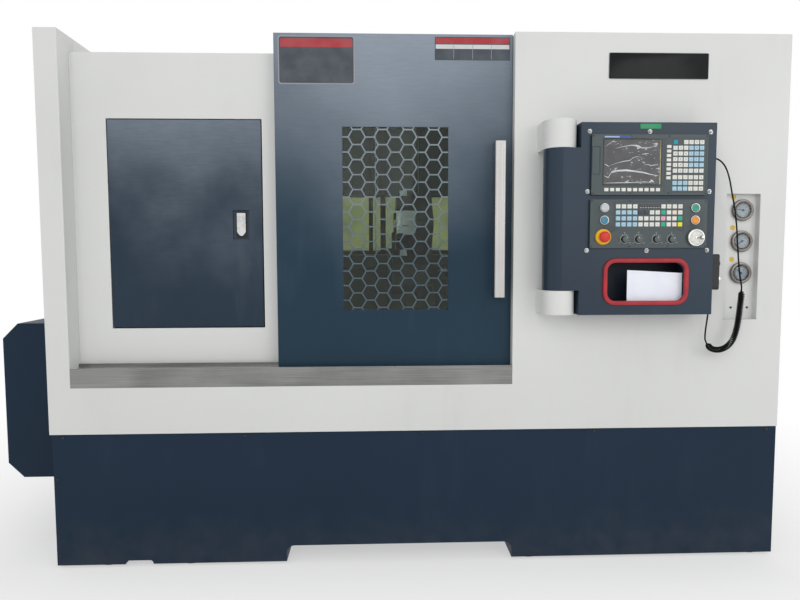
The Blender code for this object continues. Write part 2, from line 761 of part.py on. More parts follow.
def build_fixed_panel(root):
    """The panel set back behind the sliding door, with the cabinet opening and the doorway, and the door rail."""
    left, right = POST_WIDTH + GAP, OPENING_RIGHT - GAP
    foot = APRON_TOP + GAP
    front, back = PANEL_SETBACK, PANEL_SETBACK + PANEL_RETURN
    tray = prism(rectangle((left, right), (foot, PANEL_TOP)), "Y", front, back)
    inside = rectangle((left + SHEET, right - SHEET), (foot + SHEET, PANEL_TOP + 0.01))
    pocket = prism(inside, "Y", front + SHEET, back + 0.01)
    rim = prism(cabinet_opening(CABINET_SEAM + SHEET), "Y", front + SHEET / 2, back)
    hole = prism(cabinet_opening(CABINET_SEAM), "Y", front - 0.01, back + 0.01)
    doorway = rectangle((DOORWAY_LEFT, DOORWAY_RIGHT), (SILL_DECK + DOORWAY_SILL_MARGIN, DOORWAY_TOP))
    doorway_rim = rectangle(
        (DOORWAY_LEFT - SHEET, DOORWAY_RIGHT + SHEET),
        (SILL_DECK + DOORWAY_SILL_MARGIN - SHEET, DOORWAY_TOP + SHEET),
    )
    rim_two = prism(doorway_rim, "Y", front + SHEET / 2, back)
    hole_two = prism(doorway, "Y", front - 0.01, back + 0.01)
    pin = (CABINET_LEFT + HINGE_INSET, PANEL_SETBACK + HINGE_INSET)
    reach = CABINET_SEAM + SHEET + 0.004
    pins = prism(
        circle(pin, bore(HINGE_PIN_RADIUS, 12), 12),
        "Z",
        CABINET_SILL - reach,
        CABINET_SILL + CABINET_HEIGHT + reach,
    )
    obj = piece("fixed_front_panel", tray, CREAM, root, cut=[pocket])
    boolean(obj, rim, "UNION", root, "cabinet_rim")
    boolean(obj, rim_two, "UNION", root, "doorway_rim")
    boolean(obj, hole, "DIFFERENCE", root, "cabinet_hole")
    boolean(obj, hole_two, "DIFFERENCE", root, "doorway_hole")
    boolean(obj, pins, "DIFFERENCE", root, "pin_holes")

    rail_front = PANEL_SETBACK + SHEET + GAP
    rail = rectangle((rail_front, rail_front + RAIL_THICKNESS), (RAIL_SILL, RAIL_TOP))
    rail_ends = (left + SHEET + GAP, right - SHEET - GAP)
    piece("door_rail", prism(rounded(rail, RAIL_ROUND, 2), "X", *rail_ends), MACHINED, root)


def door_left():
    """The sliding door's left edge when it is closed."""
    return OPENING_RIGHT - DOOR_CLEARANCE - DOOR_WIDTH


def window_opening(grow=0.0):
    """The window's outline in X and Z."""
    return rectangle(
        (WINDOW_LEFT - grow, WINDOW_LEFT + WINDOW_WIDTH + grow),
        (WINDOW_SILL - grow, WINDOW_SILL + WINDOW_HEIGHT + grow),
    )


def build_sliding_door(root):
    """The door that slides left on its rail, with the hexagon grille, its pane and the long handle."""
    frame = new_frame("sliding_door_frame", (door_left(), DOOR_FACE, SILL_DECK + DOOR_LIFT), root)
    left, right = door_left(), door_left() + DOOR_WIDTH
    foot, back = SILL_DECK + DOOR_LIFT, DOOR_FACE + DOOR_THICKNESS
    tray = prism(rectangle((left, right), (foot, COVER_TOP)), "Y", DOOR_FACE, back)
    inside = rectangle((left + SHEET, right - SHEET), (foot + SHEET, COVER_TOP - SHEET))
    pocket = prism(inside, "Y", DOOR_FACE + SHEET, back + 0.01)
    door = piece("sliding_door", tray, NAVY, frame, cut=[pocket])
    rail_front = PANEL_SETBACK + SHEET + GAP
    hanger_sill = PANEL_TOP + 0.0015
    hanger_back = rail_front + RAIL_THICKNESS + 0.002
    hanger_top = hanger_sill + HANGER_THICKNESS
    across = (left + HANGER_MARGIN, right - HANGER_MARGIN)
    hanger = block(across, (back - SHEET, hanger_back), (hanger_sill, hanger_top))
    upstand = block(across, (DOOR_FACE + SHEET / 2, back), (hanger_sill, hanger_top + 2 * HANGER_THICKNESS))
    boolean(door, upstand, "UNION", frame, "upstand")
    boolean(door, hanger, "UNION", frame, "hanger")
    shoes = bmesh.new()
    for x in (left + SHOE_MARGIN, right - SHOE_MARGIN - SHOE_LENGTH):
        shoe = (rail_front + 0.0015, rail_front + RAIL_THICKNESS - 0.0015)
        block((x, x + SHOE_LENGTH), shoe, (RAIL_TOP + GAP, hanger_sill + 0.002), shoes)
    boolean(door, shoes, "UNION", frame, "shoes")
    boolean(door, prism(window_opening(), "Y", 0.0, DOOR_FACE + 0.02), "DIFFERENCE", frame, "window")

    grille_front = DOOR_FACE + SHEET + GAP
    grille_back = grille_front + GRILLE_THICKNESS
    plate = prism(window_opening(GRILLE_MARGIN), "Y", grille_front, grille_back)
    holes = bmesh.new()
    radius = (HEX_PITCH - HEX_WEB) / (2 * cos(pi / 6))
    column_pitch = 1.5 * HEX_PITCH / (2 * cos(pi / 6))
    columns = int(WINDOW_WIDTH / 2 / column_pitch) + 1
    rows = int(WINDOW_HEIGHT / 2 / HEX_PITCH) + 1
    for column in range(-columns, columns + 1):
        for row in range(-rows, rows + 1):
            x = WINDOW_LEFT + WINDOW_WIDTH / 2 + column * column_pitch
            z = WINDOW_SILL + WINDOW_HEIGHT / 2 + (row + (column % 2) / 2) * HEX_PITCH
            prism(circle((x, z), radius, 6), "Y", grille_front - 0.01, grille_back + 0.01, holes)
    grille = piece("window_grille", plate, NAVY, frame)
    cutter = boolean(grille, holes, "DIFFERENCE", frame, "hexagons")
    clip = prism(window_opening(-0.0005), "Y", grille_front - 0.005, grille_back + 0.005)
    boolean(cutter, clip, "INTERSECT", frame, "clip")

    pane_front = grille_back + GAP
    pane = prism(window_opening(GRILLE_MARGIN), "Y", pane_front, pane_front + PANE_THICKNESS)
    piece("window_pane", pane, GLASS, frame)

    grip_left = right - HANDLE_MARGIN - HANDLE_WIDTH
    face, seat = DOOR_FACE - HANDLE_DEPTH, DOOR_FACE - GAP
    wall = HANDLE_SHEET
    corners = [
        (grip_left, seat),
        (grip_left, face),
        (grip_left + HANDLE_WIDTH, face),
        (grip_left + HANDLE_WIDTH, face + HANDLE_LIP),
        (grip_left + HANDLE_WIDTH - wall, face + HANDLE_LIP),
        (grip_left + HANDLE_WIDTH - wall, face + wall),
        (grip_left + wall, face + wall),
        (grip_left + wall, seat),
    ]
    profile = rounded(corners, [0, 0.003, 0.003, 0, 0, 0, 0, 0], 3)
    grip = prism(profile, "Z", HANDLE_SILL, HANDLE_SILL + HANDLE_LENGTH)
    piece("door_handle", grip, BRIGHT_STEEL, frame)
    return frame


def build_cabinet_door(root):
    """The hinged door of the headstock cabinet, on two pivot pins, with its recessed lever lock."""
    pin = (CABINET_LEFT + HINGE_INSET, PANEL_SETBACK + HINGE_INSET)
    frame = new_frame("cabinet_door_frame", (*pin, CABINET_SILL), root)
    front, back = PANEL_SETBACK, PANEL_SETBACK + CABINET_THICKNESS
    tray = prism(cabinet_opening(0.0), "Y", front, back)
    pocket = prism(cabinet_opening(-SHEET), "Y", front + SHEET, back + 0.01)
    door = piece("cabinet_door", tray, NAVY, frame, cut=[pocket])
    top = CABINET_SILL + CABINET_HEIGHT
    reach = CABINET_SEAM + SHEET * 0.8
    pins = bmesh.new()
    prism(circle(pin, HINGE_PIN_RADIUS, 12), "Z", top - SHEET / 2, top + reach, pins)
    prism(circle(pin, HINGE_PIN_RADIUS, 12), "Z", CABINET_SILL - reach, CABINET_SILL + SHEET / 2, pins)
    boolean(door, pins, "UNION", frame, "pivot_pins")
    right = CABINET_LEFT + CABINET_WIDTH - LOCK_POCKET_MARGIN
    left = right - LOCK_POCKET_WIDTH
    low, high = LOCK_POCKET_SILL, LOCK_POCKET_SILL + LOCK_POCKET_HEIGHT
    cup = rectangle((left - SHEET, right + SHEET), (low - SHEET, high + SHEET))
    floor = front + LOCK_POCKET_DEPTH
    boolean(door, prism(cup, "Y", front + SHEET / 2, floor + SHEET), "UNION", frame, "lock_cup")
    hole = rounded(rectangle((left, right), (low, high)), 0.003, 2)
    boolean(door, prism(hole, "Y", front - 0.01, floor), "DIFFERENCE", frame, "lock_pocket")

    centre_x, centre_z = (left + right) / 2, (low + high) / 2
    lever_left, lever_right = centre_x - LEVER_WIDTH / 2, centre_x + LEVER_WIDTH / 2
    lever_top, lever_sill = centre_z + LEVER_HEIGHT / 2, centre_z - LEVER_HEIGHT / 2
    plate_front = floor - GAP - LOCK_PLATE_THICKNESS
    rim = LOCK_PLATE_RIM
    plate = rounded(
        rectangle((lever_left - rim, lever_right + rim), (lever_sill - rim, lever_top + rim)), 0.006, 3
    )
    lever_back = plate_front - GAP
    root_slot = block(
        (lever_left - 0.001, lever_right + 0.001),
        (plate_front - 0.01, plate_front + 0.002),
        (lever_top - 0.009, lever_top + 0.0015),
    )
    piece("lock_plate", prism(plate, "Y", plate_front, floor - GAP), BLACK, frame, cut=[root_slot])

    hinge_z = lever_top - LEVER_THICKNESS / 2
    lever_frame = new_frame("lock_lever_frame", (centre_x, lever_back - LEVER_THICKNESS / 2, hinge_z), frame)
    shoulder = lever_sill + LEVER_WIDTH * 0.55
    outline = rounded(
        [
            (lever_left, lever_top),
            (lever_left, shoulder),
            (centre_x, lever_sill - 0.004),
            (lever_right, shoulder),
            (lever_right, lever_top),
        ],
        [0.001, 0.005, 0.010, 0.005, 0.001],
        3,
    )
    lever = prism(outline, "Y", lever_back - LEVER_THICKNESS, lever_back)
    groove = rounded(
        rectangle((centre_x - 0.008, centre_x + 0.008), (shoulder, lever_top - 0.012)), 0.0075, 4
    )
    hollow = prism(groove, "Y", lever_back - LEVER_THICKNESS - 0.01, lever_back - LEVER_THICKNESS + 0.0012)
    piece("lock_lever", lever, CHROME, lever_frame, cut=[hollow])


def build_gauges(root):
    """The recessed tray in the front cover and its three pressure gauges."""
    tray = prism(gauge_opening(SHEET), "Y", SHEET + GAP, GAUGE_PANEL_DEPTH + SHEET)
    hollow = prism(gauge_opening(), "Y", 0.0, GAUGE_PANEL_DEPTH)
    piece("gauge_panel", tray, CREAM, root, cut=[hollow])
    x = GAUGE_PANEL_LEFT + GAUGE_OFFSET
    back = GAUGE_PANEL_DEPTH - GAP
    front = back - GAUGE_THICKNESS
    profile = [
        (back, 0.0),
        (back, GAUGE_RADIUS - 0.002),
        (back - 0.006, GAUGE_RADIUS),
        (front + 0.004, GAUGE_RADIUS),
        (front, GAUGE_RADIUS - 0.006),
        (front + 0.001, GAUGE_DIAL_RADIUS + 0.003),
        (front + 0.005, GAUGE_DIAL_RADIUS),
        (front + 0.005, 0.0),
    ]
    for name, height in GAUGE_HEIGHTS.items():
        piece(name, turned(profile, "Y", (x, GAUGE_PANEL_SILL + height), 32), DIAL, root, smooth=True)


def bracket_outline(radius):
    """The D-shaped plan of a pendant bracket: round in front of the pivot, straight back to the cover."""
    front = circle((PIVOT_X, PIVOT_Y), radius, 16, start=pi, turn=pi)
    return front + [(PIVOT_X + radius, -GAP), (PIVOT_X - radius, -GAP)]


def build_pendant_mount(root):
    """The two brackets on the front cover, and the post that they hold, with its nut."""
    hole = circle((PIVOT_X, PIVOT_Y), bore(POST_RADIUS, 24), 24)
    lower_top = PENDANT_SILL + LOWER_BRACKET_HEIGHT
    upper_top = UPPER_BRACKET_SILL + UPPER_BRACKET_HEIGHT
    for name, low, high in (
        ("bracket_lower", PENDANT_SILL, lower_top),
        ("bracket_upper", UPPER_BRACKET_SILL, upper_top),
    ):
        body = prism(bracket_outline(BRACKET_RADIUS), "Z", low, high)
        piece(name, body, CREAM, root, cut=[prism(hole, "Z", low - 0.01, high + 0.01)], smooth=True)
    nut_sill = upper_top + GAP
    profile = [
        (PENDANT_SILL, 0.0),
        (PENDANT_SILL, POST_RADIUS - 0.002),
        (PENDANT_SILL + 0.002, POST_RADIUS),
        (nut_sill - 0.002, POST_RADIUS),
        (nut_sill - 0.002, 0.006),
        (nut_sill + 0.004, 0.006),
        (nut_sill + 0.004, 0.0),
    ]
    post = turned(profile, "Z", (PIVOT_X, PIVOT_Y), 24)
    nut = prism(circle((PIVOT_X, PIVOT_Y), POST_RADIUS + 0.004, 6), "Z", nut_sill, nut_sill + 0.008)
    piece("pivot_post", post, BRIGHT_STEEL, root, joined=[nut], smooth=True)


def pocket_outline(grow, radius):
    """The document pocket's opening in X and Z, grown all round."""
    right = PENDANT_RIGHT - POCKET_MARGIN
    low = PENDANT_SILL + POCKET_SILL
    corners = rectangle(
        (right - POCKET_WIDTH - grow, right + grow), (low - grow, low + POCKET_HEIGHT + grow)
    )
    return rounded(corners, radius, 6) if radius else corners


def build_pendant_housing(root):
    """The pendant's housing: a case whose left side is rolled into a barrel round the post, with a pocket for
    papers."""
    frame = new_frame("pendant_frame", (PIVOT_X, PIVOT_Y, PENDANT_SILL), root)
    radius = PENDANT_DEPTH / 2
    barrel = circle((PIVOT_X, PIVOT_Y), radius, 20, start=-pi / 2, turn=-pi)
    fold = 0.004
    right_side = [
        (PENDANT_RIGHT, PIVOT_Y + radius),
        (PENDANT_RIGHT, PIVOT_Y - radius),
    ]
    plan = rounded(barrel + right_side, [0] * len(barrel) + [fold, fold], 3)
    case = prism(plan, "Z", PENDANT_SILL, PENDANT_TOP)
    notch_right = PIVOT_X + BRACKET_RADIUS + NOTCH_CLEARANCE
    notch_x = (PIVOT_X - radius - 0.02, notch_right)
    notch_y = (PIVOT_Y - radius - 0.02, PIVOT_Y + radius + 0.02)
    lower = block(notch_x, notch_y, (PENDANT_SILL - 0.01, PENDANT_SILL + LOWER_BRACKET_HEIGHT + 2 * GAP))
    upper = block(notch_x, notch_y, (UPPER_BRACKET_SILL - 2 * GAP, PENDANT_TOP + 0.01))
    post_hole = prism(
        circle((PIVOT_X, PIVOT_Y), bore(POST_RADIUS, 24), 24), "Z", PENDANT_SILL - 0.01, PENDANT_TOP + 0.01
    )
    mouth = prism(
        pocket_outline(0.0, POCKET_ROUND), "Y", PENDANT_FACE - 0.01, PENDANT_FACE + SHEET + 0.001
    )
    chamber = prism(
        pocket_outline(POCKET_UNDERCUT, 0), "Y", PENDANT_FACE + SHEET, PENDANT_FACE + POCKET_DEPTH
    )
    gland = prism(
        circle((PIVOT_Y + CORD_GLAND_SETBACK, PENDANT_TOP - CORD_GLAND_DROP), GLAND_RADIUS, 12),
        "X",
        PENDANT_RIGHT - 0.004,
        PENDANT_RIGHT + GLAND_LENGTH,
    )
    piece(
        "pendant_housing",
        case,
        NAVY,
        frame,
        joined=[gland],
        cut=[lower, upper, post_hole, mouth, chamber],
        smooth=True,
    )

    trim = prism(
        pocket_outline(TRIM_WIDTH - TRIM_LIP, POCKET_ROUND + TRIM_WIDTH - TRIM_LIP),
        "Y",
        PENDANT_FACE - GAP - TRIM_HEIGHT,
        PENDANT_FACE - GAP,
    )
    trim_hole = prism(
        pocket_outline(-TRIM_LIP, POCKET_ROUND - TRIM_LIP), "Y", PENDANT_FACE - 0.03, PENDANT_FACE + 0.01
    )
    piece("pocket_trim", trim, RED_RUBBER, frame, cut=[trim_hole])

    right = PENDANT_RIGHT - POCKET_MARGIN + POCKET_UNDERCUT - GAP
    foot = PENDANT_SILL + POCKET_SILL - POCKET_UNDERCUT + GAP
    back = PENDANT_FACE + POCKET_DEPTH - GAP
    stack = [
        (right - SHEETS_WIDTH, foot),
        (right, foot),
        (right, foot + SHEETS_HEIGHT - SHEETS_SLOPE),
        (right - SHEETS_WIDTH, foot + SHEETS_HEIGHT),
    ]
    piece("document_sheets", prism(stack, "Y", back - SHEETS_THICKNESS, back), PAPER, frame)
    return frame


def keys_at(centres, width, height, face):
    """Raised keys on a panel's face, as one shape of separate boxes that root in the panel."""
    bm = bmesh.new()
    for x, z in centres:
        across = (x - width / 2, x + width / 2)
        up = (z - height / 2, z + height / 2)
        block(across, (face - KEY_RISE, face + KEY_ROOT), up, bm)
    return bm


def mdi_keys():
    """The key centres of the data keypad: nine rows of six with one place empty and a wider gap after row six."""
    out = []
    for row in range(9):
        for column in range(6):
            if (row, column) == (0, 1):
                continue
            x = UNIT_RIGHT - MDI_RIGHT - (5 - column) * MDI_PITCH_X
            z = UNIT_TOP - MDI_TOP - row * MDI_PITCH_Z - (0.003 if row > 5 else 0.0)
            out.append((x, z))
    return out


def build_cnc_unit(pendant):
    """The control unit: bezel with its keypad, the display and the hinged card flap."""
    face, back = UNIT_FACE, PENDANT_FACE - GAP
    left, right = UNIT_LEFT, UNIT_RIGHT
    body = prism(
        rounded(rectangle((left, right), (UNIT_SILL, UNIT_TOP)), 0.003, 2), "Y", face, back
    )
    display_left, display_sill = left + DISPLAY_LEFT, UNIT_SILL + DISPLAY_SILL
    display = ((display_left, display_left + DISPLAY_WIDTH), (display_sill, display_sill + DISPLAY_HEIGHT))
    recess = block(display[0], (face - 0.01, face + DISPLAY_RECESS), display[1])
    flap_x = (left + FLAP_LEFT, left + FLAP_LEFT + FLAP_WIDTH)
    flap_z = (UNIT_SILL + FLAP_SILL, UNIT_SILL + FLAP_SILL + FLAP_HEIGHT)
    flap_seat = block(
        (flap_x[0] - FLAP_SEAM, flap_x[1] + FLAP_SEAM),
        (face - 0.01, face + FLAP_THICKNESS + GAP),
        (flap_z[0] - FLAP_SEAM, flap_z[1] + FLAP_SEAM),
    )
    soft_x = display_left + (DISPLAY_WIDTH - (SOFT_KEYS - 1) * SOFT_KEY_PITCH) / 2
    soft = [(soft_x + i * SOFT_KEY_PITCH, UNIT_SILL + DISPLAY_SILL / 2) for i in range(SOFT_KEYS)]
    side_x = right - SIDE_KEY_OFFSET
    side_z = display_sill + (DISPLAY_HEIGHT - (SIDE_KEYS - 1) * SIDE_KEY_PITCH) / 2 - 0.001
    side = [(side_x, side_z + i * SIDE_KEY_PITCH) for i in range(SIDE_KEYS)]
    piece(
        "cnc_unit",
        body,
        PANEL_GREY,
        pendant,
        joined=[
            keys_at(mdi_keys(), KEY_WIDTH, KEY_HEIGHT, face),
            keys_at(soft, KEY_WIDTH * 0.95, KEY_HEIGHT * 0.8, face),
            keys_at(side, KEY_WIDTH, KEY_HEIGHT * 0.7, face),
        ],
        cut=[recess, flap_seat],
    )
    screen = block(
        (display[0][0] + GAP, display[0][1] - GAP),
        (face + DISPLAY_RECESS - GAP - DISPLAY_THICKNESS, face + DISPLAY_RECESS - GAP),
        (display[1][0] + GAP, display[1][1] - GAP),
    )
    piece("display_glass", screen, SCREEN, pendant)
    flap_frame = new_frame("card_flap_frame", (flap_x[0], face, flap_z[0]), pendant)
    piece("card_flap", block(flap_x, (face, face + FLAP_THICKNESS), flap_z), PANEL_GREY, flap_frame)


def button_places():
    """The name and centre of each press button."""
    left, right = OPERATOR_LEFT + BUTTON_LEFT, OPERATOR_RIGHT - BUTTON_RIGHT
    top = OPERATOR_TOP - BUTTON_TOP
    return {
        "button_silver": (left, top),
        "button_blue": (left, top - BUTTON_PITCH),
        "button_green": (right, top),
        "button_orange": (right, top - BUTTON_PITCH),
    }


def build_operator_panel(pendant):
    """The operator panel with its fused keys and button bezels, the emergency stop, knobs and pulse wheel."""
    face, back = UNIT_FACE, PENDANT_FACE - GAP
    body = prism(
        rounded(rectangle((OPERATOR_LEFT, OPERATOR_RIGHT), (OPERATOR_SILL, OPERATOR_TOP)), 0.003, 2),
        "Y",
        face,
        back,
    )
    keys = [
        (
            OPERATOR_LEFT + PANEL_KEY_LEFT + column * PANEL_KEY_PITCH_X,
            OPERATOR_TOP - PANEL_KEY_TOP - row * PANEL_KEY_PITCH_Z,
        )
        for row in range(PANEL_KEY_ROWS)
        for column in range(PANEL_KEY_COLUMNS)
        if row or not 4 <= column <= 7
    ]
    bezels, wells = bmesh.new(), bmesh.new()
    for centre in button_places().values():
        prism(circle(centre, BUTTON_BEZEL, 24), "Y", face - BUTTON_RISE, face + 0.002, bezels)
        prism(circle(centre, bore(BUTTON_RADIUS, 16), 16), "Y", face - 0.02, back - 0.003, wells)
    estop = (OPERATOR_LEFT + ESTOP_LEFT, OPERATOR_SILL + ESTOP_SILL)
    prism(circle(estop, bore(ESTOP_STEM, 16), 16), "Y", face - 0.02, back - 0.002, wells)
    piece(
        "operator_panel",
        body,
        PANEL_GREY,
        pendant,
        joined=[keys_at(keys, KEY_WIDTH, KEY_HEIGHT, face), bezels],
        cut=[wells],
    )

    crown = face - BUTTON_RISE - 0.002
    for name, centre in button_places().items():
        frame = new_frame(f"{name}_frame", (centre[0], crown, centre[1]), pendant)
        profile = [
            (crown, 0.0),
            (crown, BUTTON_RADIUS - 0.002),
            (crown + 0.002, BUTTON_RADIUS),
            (crown + BUTTON_LENGTH, BUTTON_RADIUS),
            (crown + BUTTON_LENGTH, 0.0),
        ]
        piece(name, turned(profile, "Y", centre, 16), BUTTON_COLOURS[name], frame, smooth=True)

    collar_front = face - GAP - ESTOP_COLLAR_HEIGHT
    collar = turned(
        [
            (face - GAP, ESTOP_COLLAR),
            (collar_front + 0.002, ESTOP_COLLAR - 0.001),
            (collar_front, ESTOP_COLLAR - 0.005),
            (collar_front, bore(ESTOP_STEM, 24)),
            (face - GAP, bore(ESTOP_STEM, 24)),
        ],
        "Y",
        estop,
        24,
    )
    piece("estop_collar", collar, YELLOW, pendant, smooth=True)
    cap_back = collar_front - ESTOP_TRAVEL - 0.0015
    cap_front = cap_back - 0.014
    stem_end = back - 0.002 - ESTOP_TRAVEL - 0.0005
    profile = [
        (cap_front, 0.0),
        (cap_front, ESTOP_RADIUS * 0.62),
        (cap_front + 0.003, ESTOP_RADIUS * 0.90),
        (cap_front + 0.007, ESTOP_RADIUS),
        (cap_back, ESTOP_RADIUS * 0.94),
        (cap_back, ESTOP_STEM),
        (stem_end, ESTOP_STEM),
        (stem_end, 0.0),
    ]
    frame = new_frame("estop_frame", (estop[0], cap_front, estop[1]), pendant)
    piece("estop_button", turned(profile, "Y", estop, 24), RED, frame, smooth=True)

    base = face - GAP
    for name, offset in KNOB_OFFSETS.items():
        centre = (OPERATOR_LEFT + offset, OPERATOR_SILL + KNOB_SILL)
        frame = new_frame(f"{name}_frame", (centre[0], base, centre[1]), pendant)
        skirt = turned(
            [
                (base, 0.0),
                (base, KNOB_RADIUS),
                (base - 0.003, KNOB_RADIUS - 0.0005),
                (base - 0.006, KNOB_RADIUS - 0.003),
                (base - 0.010, KNOB_RADIUS - 0.0035),
                (base - 0.010, 0.0),
            ],
            "Y",
            centre,
            20,
        )
        half = KNOB_RADIUS - 0.003
        pointer = block(
            (centre[0] - 0.0028, centre[0] + 0.0028),
            (base - KNOB_HEIGHT, base - 0.005),
            (centre[1] - half, centre[1] + half),
        )
        piece(name, skirt, BLACK, frame, joined=[pointer], smooth=True)

    centre = (OPERATOR_RIGHT - PULSE_WHEEL_RIGHT, OPERATOR_SILL + PULSE_WHEEL_SILL)
    frame = new_frame("pulse_wheel_frame", (centre[0], base, centre[1]), pendant)
    front = base - PULSE_WHEEL_HEIGHT
    wheel = turned(
        [
            (base, 0.0),
            (base, PULSE_WHEEL_RADIUS),
            (front + 0.002, PULSE_WHEEL_RADIUS),
            (front, PULSE_WHEEL_RADIUS - 0.002),
            (front, PULSE_WHEEL_RADIUS - 0.006),
            (front + 0.002, PULSE_WHEEL_RADIUS - 0.008),
            (front + 0.002, 0.0),
        ],
        "Y",
        centre,
        32,
    )
    grip_centre = (centre[0] + 0.013, centre[1])
    grip = turned(
        [
            (front + 0.004, 0.0),
            (front + 0.004, 0.0035),
            (front - 0.003, 0.0035),
            (front - 0.008, 0.0060),
            (front - CRANK_LENGTH + 0.003, 0.0055),
            (front - CRANK_LENGTH, 0.0030),
            (front - CRANK_LENGTH, 0.0),
        ],
        "Y",
        grip_centre,
        12,
    )
    piece("pulse_wheel", wheel, CHROME, frame, joined=[grip], smooth=True)


def build_hand_unit(pendant):
    """The small hand-wheel unit clipped to the pendant's right side."""
    left = PENDANT_RIGHT + GAP
    right = left + HAND_UNIT_WIDTH
    low = PENDANT_SILL + HAND_UNIT_SILL
    high = low + HAND_UNIT_HEIGHT
    centre_y = PIVOT_Y
    y = (centre_y - HAND_UNIT_DEPTH / 2, centre_y + HAND_UNIT_DEPTH / 2)
    body = prism(rounded(rectangle(y, (low, high)), 0.008, 3), "X", left, right)
    selector = prism(circle((centre_y, high - 0.034), 0.010, 16), "X", right - 0.002, right + 0.015)
    nub = prism(circle((left + 0.016, centre_y), 0.006, 12), "Z", high - 0.002, high + 0.010)
    gland_ring = circle((left + HAND_GLAND_OFFSET, centre_y), GLAND_RADIUS, 12)
    gland = prism(gland_ring, "Z", low - GLAND_LENGTH, low + 0.003)
    piece("hand_unit", body, BLACK, pendant, joined=[selector, nub, gland])

    centre = (centre_y, low + 0.036)
    base = right + GAP
    rim = base + 0.010
    frame = new_frame("hand_wheel_frame", (base, *centre), pendant)
    wheel = turned(
        [
            (base, 0.0),
            (base, HAND_WHEEL_RADIUS),
            (rim - 0.001, HAND_WHEEL_RADIUS),
            (rim, HAND_WHEEL_RADIUS - 0.002),
            (rim - 0.001, HAND_WHEEL_RADIUS - 0.006),
            (rim - 0.001, 0.0),
        ],
        "X",
        centre,
        24,
    )
    grip = prism(circle((centre[0], centre[1] + 0.013), 0.004, 10), "X", rim - 0.003, rim + 0.016)
    piece("hand_wheel", wheel, CHROME, frame, joined=[grip], smooth=True)


def smooth_route(points, step):
    """Points a step apart on a smooth curve through a route's own points."""
    points = [Vector(p) for p in points]
    ends = [2 * points[0] - points[1], *points, 2 * points[-1] - points[-2]]
    fine = []
    for a, b, c, d in zip(ends, ends[1:], ends[2:], ends[3:]):
        for k in range(40):
            t = k / 40
            bend = (2 * a - 5 * b + 4 * c - d) * t * t + (3 * b - a - 3 * c + d) * t**3
            fine.append(b + 0.5 * ((c - a) * t + bend))
    fine.append(points[-1])
    lengths = [0.0]
    for p, q in zip(fine, fine[1:]):
        lengths.append(lengths[-1] + (q - p).length)
    count = max(2, round(lengths[-1] / step))
    out, i = [], 0
    for k in range(count + 1):
        target = lengths[-1] * k / count
        while i < len(fine) - 2 and lengths[i + 1] < target:
            i += 1
        share = (target - lengths[i]) / max(lengths[i + 1] - lengths[i], 1e-9)
        out.append(fine[i].lerp(fine[i + 1], min(share, 1.0)))
    return out


def cord_tube(name, route, radius, step, frame):
    """A cord's tube along a smooth route."""
    curve = bpy.data.curves.new(name, "CURVE")
    curve.dimensions = "3D"
    curve.bevel_depth = radius
    curve.bevel_resolution = 2
    curve.use_fill_caps = True
    points = smooth_route(route, step)
    spline = curve.splines.new("POLY")
    spline.points.add(len(points) - 1)
    for point, place_at in zip(spline.points, points):
        point.co = (*(place_at - frame.at), 1.0)
    curve.materials.append(material_of(RUBBER))
    obj = bpy.data.objects.new(name, curve)
    bpy.context.collection.objects.link(obj)
    obj.parent = frame.empty
    return obj


def build_cord(pendant):
    """The curly cord from the pendant's right side, down in a hanging loop and up to the hand unit."""
    coil = [
        Vector((2.515, -0.050, 1.020)),
        Vector((2.515, -0.050, 1.000)),
        Vector((2.512, -0.050, 0.965)),
        Vector((2.508, -0.050, 0.920)),
        Vector((2.501, -0.050, 0.877)),
        Vector((2.489, -0.050, 0.841)),
        Vector((2.468, -0.051, 0.816)),
        Vector((2.438, -0.053, 0.804)),
        Vector((2.407, -0.057, 0.809)),
        Vector((2.386, -0.062, 0.828)),
    ]
    start_heading = (coil[1] - coil[0]).normalized()
    end_heading = (coil[-1] - coil[-2]).normalized()
    upper = [
        (PENDANT_RIGHT + GLAND_LENGTH + GAP, PIVOT_Y + CORD_GLAND_SETBACK, PENDANT_TOP - CORD_GLAND_DROP),
        (2.395, -0.050, 1.4945),
        (2.412, -0.050, 1.490),
        (2.428, -0.050, 1.479),
        (2.443, -0.050, 1.459),
        (2.457, -0.050, 1.421),
        (2.467, -0.050, 1.375),
        (2.479, -0.050, 1.319),
        (2.489, -0.050, 1.252),
        (2.496, -0.050, 1.175),
        (2.504, -0.050, 1.097),
        (2.511, -0.050, 1.055),
        coil[0] - start_heading * LEAD_STEP,
        coil[0] - start_heading * JOINT_GAP,
    ]
    hand_gland_end = PENDANT_SILL + HAND_UNIT_SILL - GLAND_LENGTH - GAP
    lower = [
        coil[-1] + end_heading * JOINT_GAP,
        coil[-1] + end_heading * 0.010,
        (2.3765, -0.067, 0.855),
        (2.3775, -0.069, 0.885),
        (2.380, -0.071, 0.915),
        (2.3822, -0.074, 0.950),
        (2.3823, PIVOT_Y, 0.985),
        (PENDANT_RIGHT + GAP + HAND_GLAND_OFFSET, PIVOT_Y, hand_gland_end),
    ]
    cord_tube("cord_upper_lead", upper, WIRE_RADIUS, LEAD_STEP, pendant)
    cord_tube("cord_coil", coil, COIL_RADIUS, COIL_STEP, pendant)
    cord_tube("cord_lower_lead", lower, WIRE_RADIUS, LEAD_STEP, pendant)


